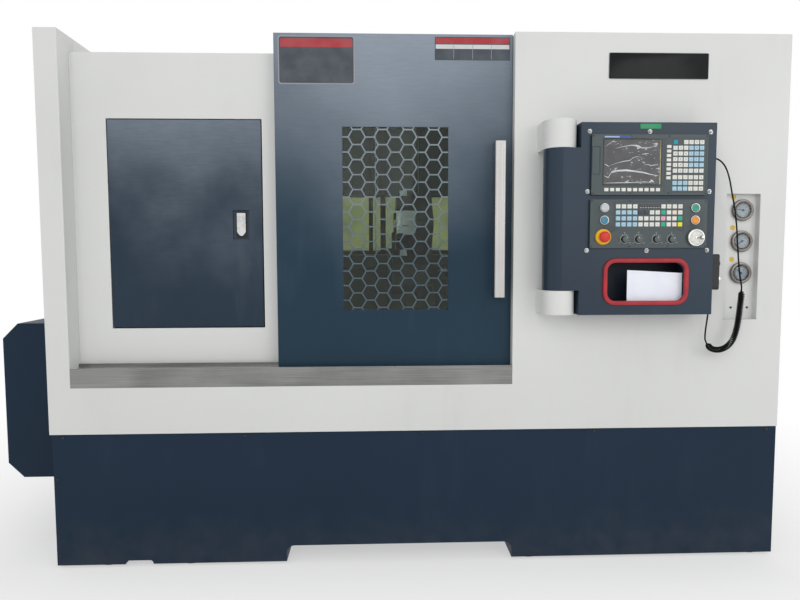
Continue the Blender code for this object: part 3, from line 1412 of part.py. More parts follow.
def build_bed(root):
    """The slant-bed casting with four box ways and the motor plate."""
    low_y, low_z = slanted(BED_LOW, -BED_DROP)
    high_y, high_z = slanted(BED_HIGH, -BED_DROP)
    foot = BASE_TOP + GAP
    section = [
        (low_y - BED_FRONT, foot),
        (high_y + BED_BACK, foot),
        (high_y + BED_BACK, high_z),
        (high_y, high_z),
        (low_y, low_z),
        (low_y - BED_FRONT, low_z - BED_LIP),
    ]
    body = prism(section, "X", HEADSTOCK_LEFT, BED_RIGHT)
    ways = bmesh.new()
    for u in TAILSTOCK_WAYS + CARRIAGE_WAYS:
        rail = rectangle((u, u + WAY_WIDTH), (-BED_DROP - WAY_ROOT, -BED_DROP + WAY_HEIGHT))
        slant_prism(rail, HEADSTOCK_RIGHT + BED_LIP, BED_RIGHT, ways)
    plate_back = MOTOR_PLATE_LEFT + MOTOR_PLATE_THICKNESS
    plate_y = (SPINDLE_Y - MOTOR_PLATE_HALF, SPINDLE_Y + MOTOR_PLATE_HALF)
    plate = block((MOTOR_PLATE_LEFT, plate_back), plate_y, (foot, MOTOR_Z + MOTOR_RADIUS))
    tie = block((MOTOR_PLATE_LEFT, HEADSTOCK_LEFT + WAY_WIDTH), plate_y, (foot, foot + PLATE_TIE))
    pilot = prism(circle((SPINDLE_Y, MOTOR_Z), MOTOR_PILOT, 24), "X", MOTOR_PLATE_LEFT - 0.01, plate_back + 0.01)
    piece("bed_casting", body, CAST_GREY, root, joined=[ways, plate, tie], cut=[pilot])


def build_headstock(root):
    """The headstock casting, bored for the spindle, with its front bearing cover."""
    left, right = HEADSTOCK_LEFT, HEADSTOCK_RIGHT
    seat = -BED_DROP + GAP
    section = rounded(
        [
            (HEADSTOCK_LOW, seat),
            (HEADSTOCK_HIGH, seat),
            (HEADSTOCK_HIGH, HEADSTOCK_HIP),
            (HEADSTOCK_CROWN_HALF, HEADSTOCK_CROWN),
            (-HEADSTOCK_CROWN_HALF, HEADSTOCK_CROWN),
            (HEADSTOCK_LOW, HEADSTOCK_SHOULDER),
        ],
        [0, 0, 0.02, 0.04, 0.04, 0.02],
        3,
    )
    body = slant_prism(section, left, right)
    cover_ring = circle((SPINDLE_Y, SPINDLE_Z), BEARING_COVER_RADIUS, 32)
    cover = prism(cover_ring, "X", right - 0.005, right + BEARING_COVER_THICKNESS)
    hole = prism(circle((SPINDLE_Y, SPINDLE_Z), bore(SPINDLE_RADIUS), 32), "X", left - 0.05, right + 0.05)
    piece("headstock", body, CAST_GREY, root, joined=[cover], cut=[hole])


def build_drive(root):
    """The spindle motor with its pulley, and the belt up to the spindle pulley."""
    axis = (SPINDLE_Y, MOTOR_Z)
    face = MOTOR_PLATE_LEFT - GAP
    end = face - MOTOR_LENGTH
    ribs = []
    for i in range(6):
        x = end + 0.05 + i * 0.04
        ribs += [(x, MOTOR_RADIUS), (x, MOTOR_RADIUS - 0.006), (x + 0.012, MOTOR_RADIUS - 0.006)]
        ribs.append((x + 0.012, MOTOR_RADIUS))
    profile = [
        (end, 0.0),
        (end, MOTOR_RADIUS - 0.015),
        (end + 0.015, MOTOR_RADIUS),
        *ribs,
        (face - 0.015, MOTOR_RADIUS),
        (face - 0.015, MOTOR_RADIUS + 0.010),
        (face, MOTOR_RADIUS + 0.010),
        (face, 0.020),
        (PULLEY_LEFT, 0.020),
        (PULLEY_LEFT, MOTOR_PULLEY_RADIUS),
        (PULLEY_LEFT + PULLEY_WIDTH, MOTOR_PULLEY_RADIUS),
        (PULLEY_LEFT + PULLEY_WIDTH, 0.0),
    ]
    piece("spindle_motor", turned(profile, "X", axis, 32), CAST_GREY, root, smooth=True)

    def loop(grow):
        """The belt's outline round both pulleys, grown all round."""
        small = bore(MOTOR_PULLEY_RADIUS) + grow
        large = bore(SPINDLE_PULLEY_RADIUS) + grow
        lean = (large - small) / (SPINDLE_Z - MOTOR_Z)
        lower = circle((SPINDLE_Y, MOTOR_Z), small, 16, start=pi - lean, turn=pi + 2 * lean)
        upper = circle((SPINDLE_Y, SPINDLE_Z), large, 16, start=-lean, turn=pi + 2 * lean)
        return lower + upper

    start, end = PULLEY_LEFT + 0.004, PULLEY_LEFT + PULLEY_WIDTH - 0.004
    belt = prism(loop(BELT_THICKNESS), "X", start, end)
    piece("drive_belt", belt, RUBBER, root, cut=[prism(loop(0.0), "X", start - 0.01, end + 0.01)])


def build_spindle(root):
    """The spindle with its pulley and three-jaw chuck, and the jaws in their slots."""
    axis = (SPINDLE_Y, SPINDLE_Z)
    frame = new_frame("spindle_frame", (CHUCK_FACE, *axis), root)
    plate = HEADSTOCK_RIGHT + BEARING_COVER_THICKNESS + GAP
    chuck = CHUCK_FACE - CHUCK_LENGTH
    pulley_end = PULLEY_LEFT + PULLEY_WIDTH
    profile = [
        (PULLEY_LEFT - 0.01, SPINDLE_BORE),
        (PULLEY_LEFT - 0.01, SPINDLE_RADIUS),
        (PULLEY_LEFT, SPINDLE_RADIUS),
        (PULLEY_LEFT, SPINDLE_PULLEY_RADIUS),
        (pulley_end, SPINDLE_PULLEY_RADIUS),
        (pulley_end, SPINDLE_RADIUS + 0.020),
        (HEADSTOCK_LEFT - GAP, SPINDLE_RADIUS + 0.020),
        (HEADSTOCK_LEFT - GAP, SPINDLE_RADIUS),
        (plate, SPINDLE_RADIUS),
        (plate, CHUCK_RADIUS * 0.72),
        (chuck, CHUCK_RADIUS * 0.72),
        (chuck, CHUCK_RADIUS - 0.004),
        (chuck + 0.004, CHUCK_RADIUS),
        (CHUCK_FACE - 0.004, CHUCK_RADIUS),
        (CHUCK_FACE, CHUCK_RADIUS - 0.004),
        (CHUCK_FACE, SPINDLE_BORE),
    ]
    slots = []
    for angle in jaw_angles():
        slot = block(
            (CHUCK_FACE - JAW_KEY_DEPTH - GAP, CHUCK_FACE + 0.01),
            (-JAW_KEY / 2 - GAP, JAW_KEY / 2 + GAP),
            (SPINDLE_BORE + 0.004, CHUCK_RADIUS + 0.02),
        )
        slots.append(turn_about_spindle(slot, angle))
    piece(
        "spindle_chuck", turned(profile, "X", axis, 32), MACHINED, frame, cut=slots, smooth=True
    )
    for i, angle in enumerate(jaw_angles()):
        jaw_frame = new_frame(f"jaw_{i + 1}_frame", (CHUCK_FACE, *axis), frame)
        low = SPINDLE_BORE + 0.010
        seat = CHUCK_FACE + GAP
        profile = [
            (CHUCK_FACE - JAW_KEY_DEPTH, low),
            (CHUCK_FACE - JAW_KEY_DEPTH, CHUCK_RADIUS - 0.008),
            (seat + JAW_HEIGHT * 0.55, CHUCK_RADIUS - 0.008),
            (seat + JAW_HEIGHT * 0.55, low + 0.040),
            (seat + JAW_HEIGHT, low + 0.032),
            (seat + JAW_HEIGHT, low),
        ]
        jaw = prism(profile, "Y", -JAW_WIDTH / 2, JAW_WIDTH / 2)
        cheeks = bmesh.new()
        for side in (-1, 1):
            y = sorted((side * JAW_KEY / 2, side * (JAW_WIDTH / 2 + 0.01)))
            block((CHUCK_FACE - JAW_KEY_DEPTH - 0.01, seat), y, (0.0, CHUCK_RADIUS), cheeks)
        piece(
            f"chuck_jaw_{i + 1}",
            turn_about_spindle(jaw, angle),
            MACHINED,
            jaw_frame,
            cut=[turn_about_spindle(cheeks, angle)],
        )


def jaw_angles():
    """The turn of each jaw about the spindle, from straight up."""
    return [tau * i / 3 for i in range(3)]


def turn_about_spindle(bm, angle):
    """A shape drawn about the X axis, turned and moved onto the spindle's axis."""
    bmesh.ops.transform(bm, matrix=Matrix.Rotation(angle, 4, "X"), verts=bm.verts[:])
    bmesh.ops.translate(bm, verts=bm.verts[:], vec=Vector((0.0, SPINDLE_Y, SPINDLE_Z)))
    return bm


def grooved(low_u, high_u, top, ways):
    """The section of a slide that straddles box ways: a flat top, and a groove over each way."""
    bottom = -BED_DROP + 0.0015
    roof = -BED_DROP + WAY_HEIGHT + GAP
    points = [(low_u, top), (low_u, bottom)]
    for u in ways:
        low, high = u - GAP, u + WAY_WIDTH + GAP
        points += [(low, bottom), (low, roof), (high, roof), (high, bottom)]
    return points + [(high_u, bottom), (high_u, top)]


def build_carriage(root):
    """The saddle on the upper ways, the cross slide with the turret's housing, and the tool disc."""
    frame = new_frame("saddle_frame", (SADDLE_LEFT, *slanted(0.0, 0.0)), root)
    top = -BED_DROP + WAY_HEIGHT + SADDLE_THICKNESS
    right = SADDLE_LEFT + SADDLE_LENGTH
    saddle = slant_prism(grooved(SADDLE_LOW, SADDLE_HIGH, top, CARRIAGE_WAYS), SADDLE_LEFT, right)
    key_left = SADDLE_LEFT + SLIDE_KEY_INSET
    key_x = (key_left, key_left + SLIDE_KEY_WIDTH)
    key_top = top + SLIDE_KEY_RISE
    key = slant_prism(rectangle((SADDLE_LOW, SADDLE_HIGH), (top - WAY_ROOT, key_top)), *key_x)
    piece("saddle", saddle, CAST_GREY, frame, joined=[key])

    slide_frame = new_frame("cross_slide_frame", (SADDLE_LEFT, *slanted(0.0, 0.0)), frame)
    seat = top + GAP
    slide_x = (SADDLE_LEFT + SLIDE_INSET, right - SLIDE_INSET)
    plate = slant_prism(rectangle((SLIDE_LOW, SLIDE_HIGH), (seat, seat + SLIDE_THICKNESS)), *slide_x)
    groove = slant_prism(
        rectangle((SLIDE_LOW - 0.06, SLIDE_HIGH + 0.06), (seat - 0.01, key_top + GAP)),
        key_x[0] - GAP,
        key_x[1] + GAP,
    )
    disc_right = TURRET_LEFT + TURRET_THICKNESS
    housing = slant_prism(
        rounded(
            rectangle(
                (TURRET_OFFSET - HOUSING_HALF, TURRET_OFFSET + HOUSING_HALF),
                (seat + SLIDE_THICKNESS - 0.005, HOUSING_TOP),
            ),
            [0, 0, HOUSING_ROUND, HOUSING_ROUND],
            3,
        ),
        disc_right + HOUSING_CLEARANCE,
        slide_x[1],
    )
    centre = slanted(TURRET_OFFSET, 0.0)
    hole_end = disc_right + TURRET_HUB_LENGTH + HOUSING_CLEARANCE
    hub_hole = prism(circle(centre, bore(TURRET_HUB_RADIUS, 24), 24), "X", disc_right - 0.01, hole_end)
    piece("cross_slide", plate, CAST_GREY, slide_frame, joined=[housing], cut=[groove, hub_hole])

    disc_frame = new_frame("turret_frame", (TURRET_LEFT, *centre), slide_frame)
    disc = prism(circle(centre, TURRET_RADIUS, TURRET_STATIONS, start=pi / 8), "X", TURRET_LEFT, disc_right)
    hub_end = disc_right + TURRET_HUB_LENGTH
    hub = prism(circle(centre, TURRET_HUB_RADIUS, 24), "X", disc_right - 0.002, hub_end)
    boss_front = TURRET_LEFT - TURRET_BOSS_RISE
    face_boss = prism(circle(centre, TURRET_BOSS_RADIUS, 24), "X", boss_front, TURRET_LEFT + 0.002)
    holders = bmesh.new()
    pockets = bmesh.new()
    flat = TURRET_RADIUS * cos(pi / TURRET_STATIONS)
    for i in range(TURRET_STATIONS):
        angle = pi / 8 + tau * (i + 0.5) / TURRET_STATIONS
        out = Vector((cos(angle), sin(angle)))
        side = Vector((-out.y, out.x))
        middle = Vector(centre)
        if i % 2:
            corners = rectangle((flat - WAY_ROOT, flat + HOLDER_RISE), (-HOLDER_WIDTH / 2, HOLDER_WIDTH / 2))
            outline = [tuple(middle + out * a + side * b) for a, b in corners]
            holder_left = TURRET_LEFT + HOLDER_INSET
            prism(outline, "X", holder_left, holder_left + HOLDER_THICKNESS, holders)
        else:
            spot = tuple(middle + out * (flat - TOOL_BORE_MARGIN))
            bore_end = TURRET_LEFT + TOOL_BORE_DEPTH
            prism(circle(spot, TOOL_BORE_RADIUS, 12), "X", TURRET_LEFT - 0.01, bore_end, pockets)
    piece("turret", disc, MACHINED, disc_frame, joined=[hub, face_boss, holders], cut=[pockets])


def build_tailstock(root):
    """The tailstock on the lower ways, and its quill with a centre."""
    frame = new_frame("tailstock_frame", (TAILSTOCK_LEFT, *slanted(0.0, 0.0)), root)
    left, right = TAILSTOCK_LEFT, TAILSTOCK_LEFT + TAILSTOCK_LENGTH
    foot = grooved(TAILSTOCK_LOW, TAILSTOCK_HIGH, TAILSTOCK_FOOT_TOP, TAILSTOCK_WAYS)
    head = TAILSTOCK_HEAD_HALF
    section = foot[:-1] + [
        (TAILSTOCK_HIGH, TAILSTOCK_NECK),
        (head, TAILSTOCK_WAIST),
        (head, head),
        (-head, head),
        (TAILSTOCK_WAIST_LOW, TAILSTOCK_WAIST),
    ]
    body = slant_prism(section, left, right)
    hole = prism(circle((SPINDLE_Y, SPINDLE_Z), bore(QUILL_RADIUS, 24), 24), "X", left - 0.01, right + 0.01)
    piece("tailstock", body, CAST_GREY, frame, cut=[hole])
    tip = left - QUILL_REACH
    collar = tip + CENTRE_LENGTH + CENTRE_COLLAR
    quill_frame = new_frame("quill_frame", (tip, SPINDLE_Y, SPINDLE_Z), frame)
    profile = [
        (tip, 0.0),
        (tip + CENTRE_LENGTH, CENTRE_RADIUS),
        (collar, CENTRE_RADIUS),
        (collar, QUILL_RADIUS),
        (right - QUILL_INSET, QUILL_RADIUS),
        (right - QUILL_INSET, 0.0),
    ]
    piece("quill", turned(profile, "X", (SPINDLE_Y, SPINDLE_Z), 24), MACHINED, quill_frame, smooth=True)


def main():
    """Build the lathe, sub-assembly by sub-assembly."""
    clear_scene()
    centre = Vector(((COVER_WIDTH - GUARD_WIDTH) / 2, (MACHINE_DEPTH + CRANK_TIP) / 2, 0.0))
    root = new_frame("lathe", (0.0, 0.0, 0.0))
    root.empty.location = -centre
    build_base(root)
    build_covers(root)
    build_motor_guard(root)
    build_sill(root)
    build_fixed_panel(root)
    build_sliding_door(root)
    build_cabinet_door(root)
    build_gauges(root)
    build_pendant_mount(root)
    pendant = build_pendant_housing(root)
    build_cnc_unit(pendant)
    build_operator_panel(pendant)
    build_hand_unit(pendant)
    build_cord(pendant)
    build_bed(root)
    build_headstock(root)
    build_drive(root)
    build_spindle(root)
    build_carriage(root)
    build_tailstock(root)


main()
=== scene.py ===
"""The looks of a slant-bed turning lathe: its enclosure, doors, swivelling pendant, hand unit, gauges and machinery.

Shapes are drawn in the machine's own frame: X = 0 at the front cover's left edge, Y = 0 at its face with +Y into the
machine, Z = 0 at the floor. Workshop.shift moves them to the part's frame.
"""

from __future__ import annotations

import json
import logging
import math
from dataclasses import dataclass, field
from enum import Enum
from typing import Iterable, Sequence

import bmesh
import bpy
from mathutils import Matrix, Vector

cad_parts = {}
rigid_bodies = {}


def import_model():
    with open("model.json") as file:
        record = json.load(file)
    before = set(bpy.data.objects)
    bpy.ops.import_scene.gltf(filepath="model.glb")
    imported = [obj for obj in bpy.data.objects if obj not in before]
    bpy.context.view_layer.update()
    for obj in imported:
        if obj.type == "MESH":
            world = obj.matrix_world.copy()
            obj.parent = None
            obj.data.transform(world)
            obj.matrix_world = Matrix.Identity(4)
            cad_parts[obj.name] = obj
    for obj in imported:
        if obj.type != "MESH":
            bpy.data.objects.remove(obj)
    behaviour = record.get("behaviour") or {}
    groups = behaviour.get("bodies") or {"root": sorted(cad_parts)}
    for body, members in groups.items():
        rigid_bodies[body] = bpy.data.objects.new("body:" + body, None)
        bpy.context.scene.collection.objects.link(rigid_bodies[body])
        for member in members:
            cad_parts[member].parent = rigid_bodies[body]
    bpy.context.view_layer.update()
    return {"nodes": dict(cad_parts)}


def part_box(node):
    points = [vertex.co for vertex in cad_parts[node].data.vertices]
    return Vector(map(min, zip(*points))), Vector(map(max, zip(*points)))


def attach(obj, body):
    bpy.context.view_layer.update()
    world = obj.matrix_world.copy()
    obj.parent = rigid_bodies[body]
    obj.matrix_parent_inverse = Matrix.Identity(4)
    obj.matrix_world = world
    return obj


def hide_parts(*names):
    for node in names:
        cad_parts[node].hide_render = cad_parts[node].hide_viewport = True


LOG = logging.getLogger("lathe")

Point = Sequence[float]
Colour = tuple[float, float, float]
Place = tuple[float, float, float]
Panel = tuple[float, float, float, float]
Socket = bpy.types.NodeSocket
Tree = bpy.types.NodeTree
Mesh = bmesh.types.BMesh

# Edges sharper than this are softened
EDGE_ANGLE = math.radians(38)
# The areas in square metres from which square-on and slanted faces are shaded flat
FLAT_SQUARE_ON, FLAT_SLANTED = 0.003, 0.012
# The outline in metres from which a face with inward corners is cut up before it is softened
LONG_OUTLINE = 1.5
# The distance in metres within which two points are one
SAME_PLACE = 1e-7


class Axis(Enum):
    """The direction that a turned or extruded shape runs in."""

    X = "X"
    Y = "Y"
    Z = "Z"

    def matrix(self) -> Matrix:
        """The turn from +Z onto this axis.

        Returns:
            The rotation.
        """
        return {
            "X": Matrix.Rotation(math.pi / 2, 4, "Y"),
            "Y": Matrix.Rotation(-math.pi / 2, 4, "X"),
            "Z": Matrix.Identity(4),
        }[self.value]


class Body(Enum):
    """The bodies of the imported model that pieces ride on."""

    MACHINE = "machine"
    DOOR = "door"
    CABINET = "cabinet"
    LEVER = "lever"
    PENDANT = "pendant"
    FLAP = "flap"
    ESTOP = "estop"
    SILVER = "silver"
    BLUE = "blue"
    GREEN = "green"
    ORANGE = "orange"
    MODE = "mode"
    FEED = "feed"
    SPEED = "speed"
    STEP = "step"
    PULSER = "pulser"
    REMOTE_WHEEL = "remote_wheel"
    SPINDLE = "spindle"
    CARRIAGE = "carriage"
    SLIDE = "slide"
    TOOL_DISC = "tool_disc"
    TAIL = "tail"
    CENTRE = "centre"


def linear(red: float, green: float, blue: float) -> Colour:
    """A display colour from 0 to 255 as linear values.

    Args:
        red: Display red.
        green: Display green.
        blue: Display blue.

    Returns:
        The three linear values, from 0 to 1.
    """
    out = []
    for value in (red, green, blue):
        share = value / 255
        out.append(share / 12.92 if share <= 0.04045 else ((share + 0.055) / 1.055) ** 2.4)
    return (out[0], out[1], out[2])


# Surface effects


class NodeSheet:
    """A node tree that is being laid out."""

    def __init__(self, tree: Tree) -> None:
        """Open a tree.

        Args:
            tree: The tree to add nodes to.
        """
        self.tree = tree

    def add(self, kind: str, **settings: object) -> bpy.types.Node:
        """A new node.

        Args:
            kind: The node's type name.
            settings: Attributes to set on it.

        Returns:
            The node.
        """
        node = self.tree.nodes.new(kind)
        for key, value in settings.items():
            setattr(node, key, value)
        return node

    def link(self, start: Socket, end: Socket) -> None:
        """Link an output to an input."""
        self.tree.links.new(start, end)

    def fed(self, node: bpy.types.Node, values: dict[int | str, object]) -> bpy.types.Node:
        """Give a node's inputs their values.

        Args:
            node: The node.
            values: An output to link or a plain value to set, by the input's name or number.

        Returns:
            The node.
        """
        for label, value in values.items():
            if isinstance(value, Socket):
                self.link(value, node.inputs[label])
            else:
                node.inputs[label].default_value = value
        return node

    def math(self, operation: str, *values: object) -> Socket:
        """A Math node.

        Args:
            operation: The operation's name.
            values: Its inputs, each a socket or a number.

        Returns:
            The node's output.
        """
        return self.fed(self.add("ShaderNodeMath", operation=operation), dict(enumerate(values))).outputs[0]

    def ranged(self, value: Socket, low: float, high: float, to: Point = (0.0, 1.0), smooth: bool = False) -> Socket:
        """A clamped Map Range node from low and high to a new range.

        Args:
            value: The value to map.
            low: The value that gives the new range's start.
            high: The value that gives its end.
            to: The new range.
            smooth: Whether it eases in and out.

        Returns:
            The node's output.
        """
        node = self.add("ShaderNodeMapRange", interpolation_type="SMOOTHSTEP" if smooth else "LINEAR")
        values = {"Value": value, "From Min": low, "From Max": high, "To Min": to[0], "To Max": to[1]}
        return self.fed(node, values).outputs["Result"]

    def mixed(self, mask: object, first: object, second: object) -> Socket:
        """A colour between two, by a mask.

        Args:
            mask: A socket or a number from 0 to 1.
            first: The colour at 0, as a socket or linear values.
            second: The colour at 1.

        Returns:
            The mixed colour's socket.
        """
        start, end = ((*value, 1.0) if isinstance(value, tuple) else value for value in (first, second))
        return self.fed(self.add("ShaderNodeMix", data_type="RGBA"), {0: mask, 6: start, 7: end}).outputs[2]

    def noise(self, vector: Socket, scale: object, detail: float = 4.0) -> Socket:
        """A noise texture's value.

        Args:
            vector: Where it is read.
            scale: Its scale, a socket or a number.
            detail: Its octaves.

        Returns:
            The Fac output.
        """
        node = self.add("ShaderNodeTexNoise")
        return self.fed(node, {"Vector": vector, "Scale": scale, "Detail": detail}).outputs["Fac"]

    def place(self) -> Socket:
        """The object's own coordinates."""
        return self.add("ShaderNodeTexCoord").outputs["Object"]

    def split(self, vector: Socket) -> bpy.types.NodeOutputs:
        """A vector's X, Y and Z, as sockets."""
        return self.fed(self.add("ShaderNodeSeparateXYZ"), {"Vector": vector}).outputs

    def stretched(self, vector: Socket, turn: float, scale: Point) -> Socket:
        """Coordinates that are scaled and then turned about Y.

        Args:
            vector: The coordinates.
            turn: The turn in radians.
            scale: The scale along X, Y and Z.

        Returns:
            The new coordinates.
        """
        node = self.add("ShaderNodeMapping")
        return self.fed(node, {"Vector": vector, "Rotation": (0.0, turn, 0.0), "Scale": scale}).outputs["Vector"]

    def bump(self, height: Socket, distance: float, strength: object) -> Socket:
        """A normal from a height.

        Args:
            height: The height.
            distance: What a height of 1 is, in metres.
            strength: How strongly it shows, a socket or a number.

        Returns:
            The normal.
        """
        node = self.add("ShaderNodeBump")
        return self.fed(node, {"Height": height, "Distance": distance, "Strength": strength}).outputs["Normal"]


class GroupSheet(NodeSheet):
    """A shader group that is being laid out, or that was laid out before.

    Attributes:
        fresh: Whether it is new and has to be filled.
        given: The group's inputs, as sockets to link from.
        out: The group's outputs, as sockets to link to.
    """

    def __init__(self, name: str, inputs: dict[str, float], outputs: Sequence[str]) -> None:
        """Find the group, or make it with its sockets.

        Args:
            name: The group's name.
            inputs: Its number inputs, with their default values.
            outputs: Its outputs. Normal is a vector, and the others are numbers.
        """
        found = bpy.data.node_groups.get(name)
        super().__init__(found or bpy.data.node_groups.new(name, "ShaderNodeTree"))
        self.fresh = found is None
        if self.fresh:
            sockets = self.tree.interface
            for label, value in inputs.items():
                socket = sockets.new_socket(label, in_out="INPUT", socket_type="NodeSocketFloat")
                socket.default_value = value
            for label in outputs:
                kind = "NodeSocketVector" if label == "Normal" else "NodeSocketFloat"
                sockets.new_socket(label, in_out="OUTPUT", socket_type=kind)
            self.given = self.add("NodeGroupInput").outputs
            self.out = self.add("NodeGroupOutput").inputs


class Effects:
    """Shader groups that several finishes share. Each is built once."""

    def coat_texture(self) -> Tree:
        """The fine pimpled skin of sprayed and baked paint, as a normal.

        Returns:
            The group, which puts out a normal.
        """
        sheet = GroupSheet("coat_texture", {"Scale": 900.0, "Height": 0.2}, ["Normal"])
        if sheet.fresh:
            place = sheet.place()
            wave = sheet.math("MULTIPLY", sheet.noise(place, 6.0, 1.0), 2.0)
            height = sheet.math("ADD", sheet.noise(place, sheet.given["Scale"], 2.0), wave)
            sheet.link(sheet.bump(height, 0.0004, sheet.given["Height"]), sheet.out["Normal"])
        return sheet.tree

    def mottle(self) -> Tree:
        """Broad, soft patches, as a mask from 0 to 1.

        Returns:
            The group, which puts out a mask.
        """
        sheet = GroupSheet("mottle", {"Scale": 2.0, "Sharpness": 0.5}, ["Mask"])
        if sheet.fresh:
            centred = sheet.math("SUBTRACT", sheet.noise(sheet.place(), sheet.given["Scale"], 5.0), 0.5)
            steep = sheet.math("MULTIPLY_ADD", sheet.given["Sharpness"], 6.0, 1.0)
            sheet.link(sheet.ranged(sheet.math("MULTIPLY", centred, steep), -0.5, 0.5), sheet.out["Mask"])
        return sheet.tree

    def smears(self) -> Tree:
        """Long streaks that run down a sheet, such as wiped coolant and scuffs, as a mask.

        Returns:
            The group, which puts out a mask.
        """
        sheet = GroupSheet("smears", {"Scale": 3.0, "Cover": 0.4}, ["Mask"])
        if sheet.fresh:
            place = sheet.place()
            streaks = sheet.noise(sheet.stretched(place, 0.25, (5.0, 5.0, 0.9)), sheet.given["Scale"], 6.0)
            both = sheet.math("MULTIPLY", streaks, sheet.noise(place, 1.7, 2.0))
            edge = sheet.math("MULTIPLY_ADD", sheet.given["Cover"], -0.2, 0.42)
            sheet.link(sheet.ranged(sheet.math("SUBTRACT", both, edge), 0.0, 0.14), sheet.out["Mask"])
        return sheet.tree

    def floor_dust(self) -> Tree:
        """Dust and splashes that thin out upwards from the floor, as a mask.

        Returns:
            The group, which puts out a mask.
        """
        sheet = GroupSheet("floor_dust", {"Reach": 0.3, "Scale": 14.0}, ["Mask"])
        if sheet.fresh:
            place = sheet.place()
            height = sheet.math("DIVIDE", sheet.split(place)["Z"], sheet.given["Reach"])
            speck = sheet.noise(place, sheet.given["Scale"], 6.0)
            settled = sheet.math("MULTIPLY", sheet.math("SUBTRACT", 1.0, height), speck)
            sheet.link(sheet.ranged(settled, 0.15, 0.65), sheet.out["Mask"])
        return sheet.tree

    def brushing(self) -> Tree:
        """The fine parallel lines of brushed or ground metal, as a value and a normal.

        Returns:
            The group, which puts out a value and a normal.
        """
        inputs = {"Across X": 4.0, "Across Y": 400.0, "Across Z": 400.0, "Height": 0.1}
        sheet = GroupSheet("brushing", inputs, ["Value", "Normal"])
        if sheet.fresh:
            across = {index: sheet.given[f"Across {axis.value}"] for index, axis in enumerate(Axis)}
            scale = sheet.fed(sheet.add("ShaderNodeCombineXYZ"), across).outputs[0]
            stretch = sheet.add("ShaderNodeVectorMath", operation="MULTIPLY")
            lines = sheet.noise(sheet.fed(stretch, {0: sheet.place(), 1: scale}).outputs[0], 1.0, 3.0)
            sheet.link(lines, sheet.out["Value"])
            sheet.link(sheet.bump(lines, 0.0003, sheet.given["Height"]), sheet.out["Normal"])
        return sheet.tree

    def grain(self) -> Tree:
        """The matt grain of moulded plastic, rubber and castings, as a value and a normal.

        Returns:
            The group, which puts out a value and a normal.
        """
        sheet = GroupSheet("grain", {"Scale": 600.0, "Height": 0.2}, ["Value", "Normal"])
        if sheet.fresh:
            fine = sheet.noise(sheet.place(), sheet.given["Scale"], 3.0)
            sheet.link(fine, sheet.out["Value"])
            sheet.link(sheet.bump(fine, 0.0005, sheet.given["Height"]), sheet.out["Normal"])
        return sheet.tree


EFFECTS = Effects()


def effect(sheet: NodeSheet, tree: Tree, **values: float) -> bpy.types.Node:
    """Place a shared group in a material.

    Args:
        sheet: The material's nodes.
        tree: The group.
        values: Its inputs, with _ for a space.

    Returns:
        The group's node.
    """
    node = sheet.add("ShaderNodeGroup", node_tree=tree)
    for label, value in values.items():
        node.inputs[label.replace("_", " ")].default_value = value
    return node


# Finishes


@dataclass(frozen=True)
class Finish:
    """A finish with one Principled shader.

    Attributes:
        name: The material's name.
        colour: Its linear colour.
        roughness: Its mean roughness.
    """

    name: str
    colour: Colour
    roughness: float

    def material(self) -> bpy.types.Material:
        """The finish's material, made on first use.

        Returns:
            The material.
        """
        found = bpy.data.materials.get(self.name)
        if found:
            return found
        made = bpy.data.materials.new(self.name)
        made.use_nodes = True
        shader = made.node_tree.nodes["Principled BSDF"]
        shader.inputs["Base Color"].default_value = (*self.colour, 1.0)
        shader.inputs["Roughness"].default_value = self.roughness
        made.diffuse_color = (*self.colour, 1.0)
        self.lay_out(NodeSheet(made.node_tree), shader)
        return made

    def lay_out(self, sheet: NodeSheet, shader: bpy.types.Node) -> None:
        """Add the finish's own nodes. A plain finish has none.

        Args:
            sheet: The material's nodes.
            shader: Its Principled shader.
        """


@dataclass(frozen=True)
class Enamel(Finish):
    """Sprayed machine enamel with a textured skin, soft patches, streaks and dust near the floor.

    Attributes:
        patch: The colour of the patches.
        streak: The colour of streaks and scuffs.
        texture: The skin's scale.
        height: The skin's strength.
        patch_share: How strong the patches are.
        streak_share: How strong the streaks are.
        dust_reach: The height that dust reaches, in metres, or 0 for none.
        specular: The shader's specular level.
    """

    patch: Colour = (0.5, 0.5, 0.5)
    streak: Colour = (0.5, 0.5, 0.5)
    texture: float = 700.0
    height: float = 0.15
    patch_share: float = 0.3
    streak_share: float = 0.2
    dust_reach: float = 0.0
    specular: float = 0.4

    def lay_out(self, sheet: NodeSheet, shader: bpy.types.Node) -> None:
        """Mix the patches, streaks and dust into the colour, and give the skin its normal.

        Args:
            sheet: The material's nodes.
            shader: Its Principled shader.
        """
        shader.inputs["Specular IOR Level"].default_value = self.specular
        patches = effect(sheet, EFFECTS.mottle(), Scale=1.6, Sharpness=0.4).outputs["Mask"]
        colour = sheet.mixed(sheet.math("MULTIPLY", patches, self.patch_share), self.colour, self.patch)
        streaks = effect(sheet, EFFECTS.smears(), Scale=3.0, Cover=0.5).outputs["Mask"]
        colour = sheet.mixed(sheet.math("MULTIPLY", streaks, self.streak_share), colour, self.streak)
        if self.dust_reach:
            dust = effect(sheet, EFFECTS.floor_dust(), Reach=self.dust_reach, Scale=16.0).outputs["Mask"]
            colour = sheet.mixed(sheet.math("MULTIPLY", dust, 0.08), colour, linear(132, 126, 116))
        sheet.link(colour, shader.inputs["Base Color"])
        rough = sheet.ranged(patches, 0.0, 1.0, (self.roughness - 0.06, self.roughness + 0.06))
        sheet.link(sheet.math("ADD", rough, sheet.math("MULTIPLY", streaks, 0.12)), shader.inputs["Roughness"])
        skin = effect(sheet, EFFECTS.coat_texture(), Scale=self.texture, Height=self.height)
        sheet.link(skin.outputs["Normal"], shader.inputs["Normal"])


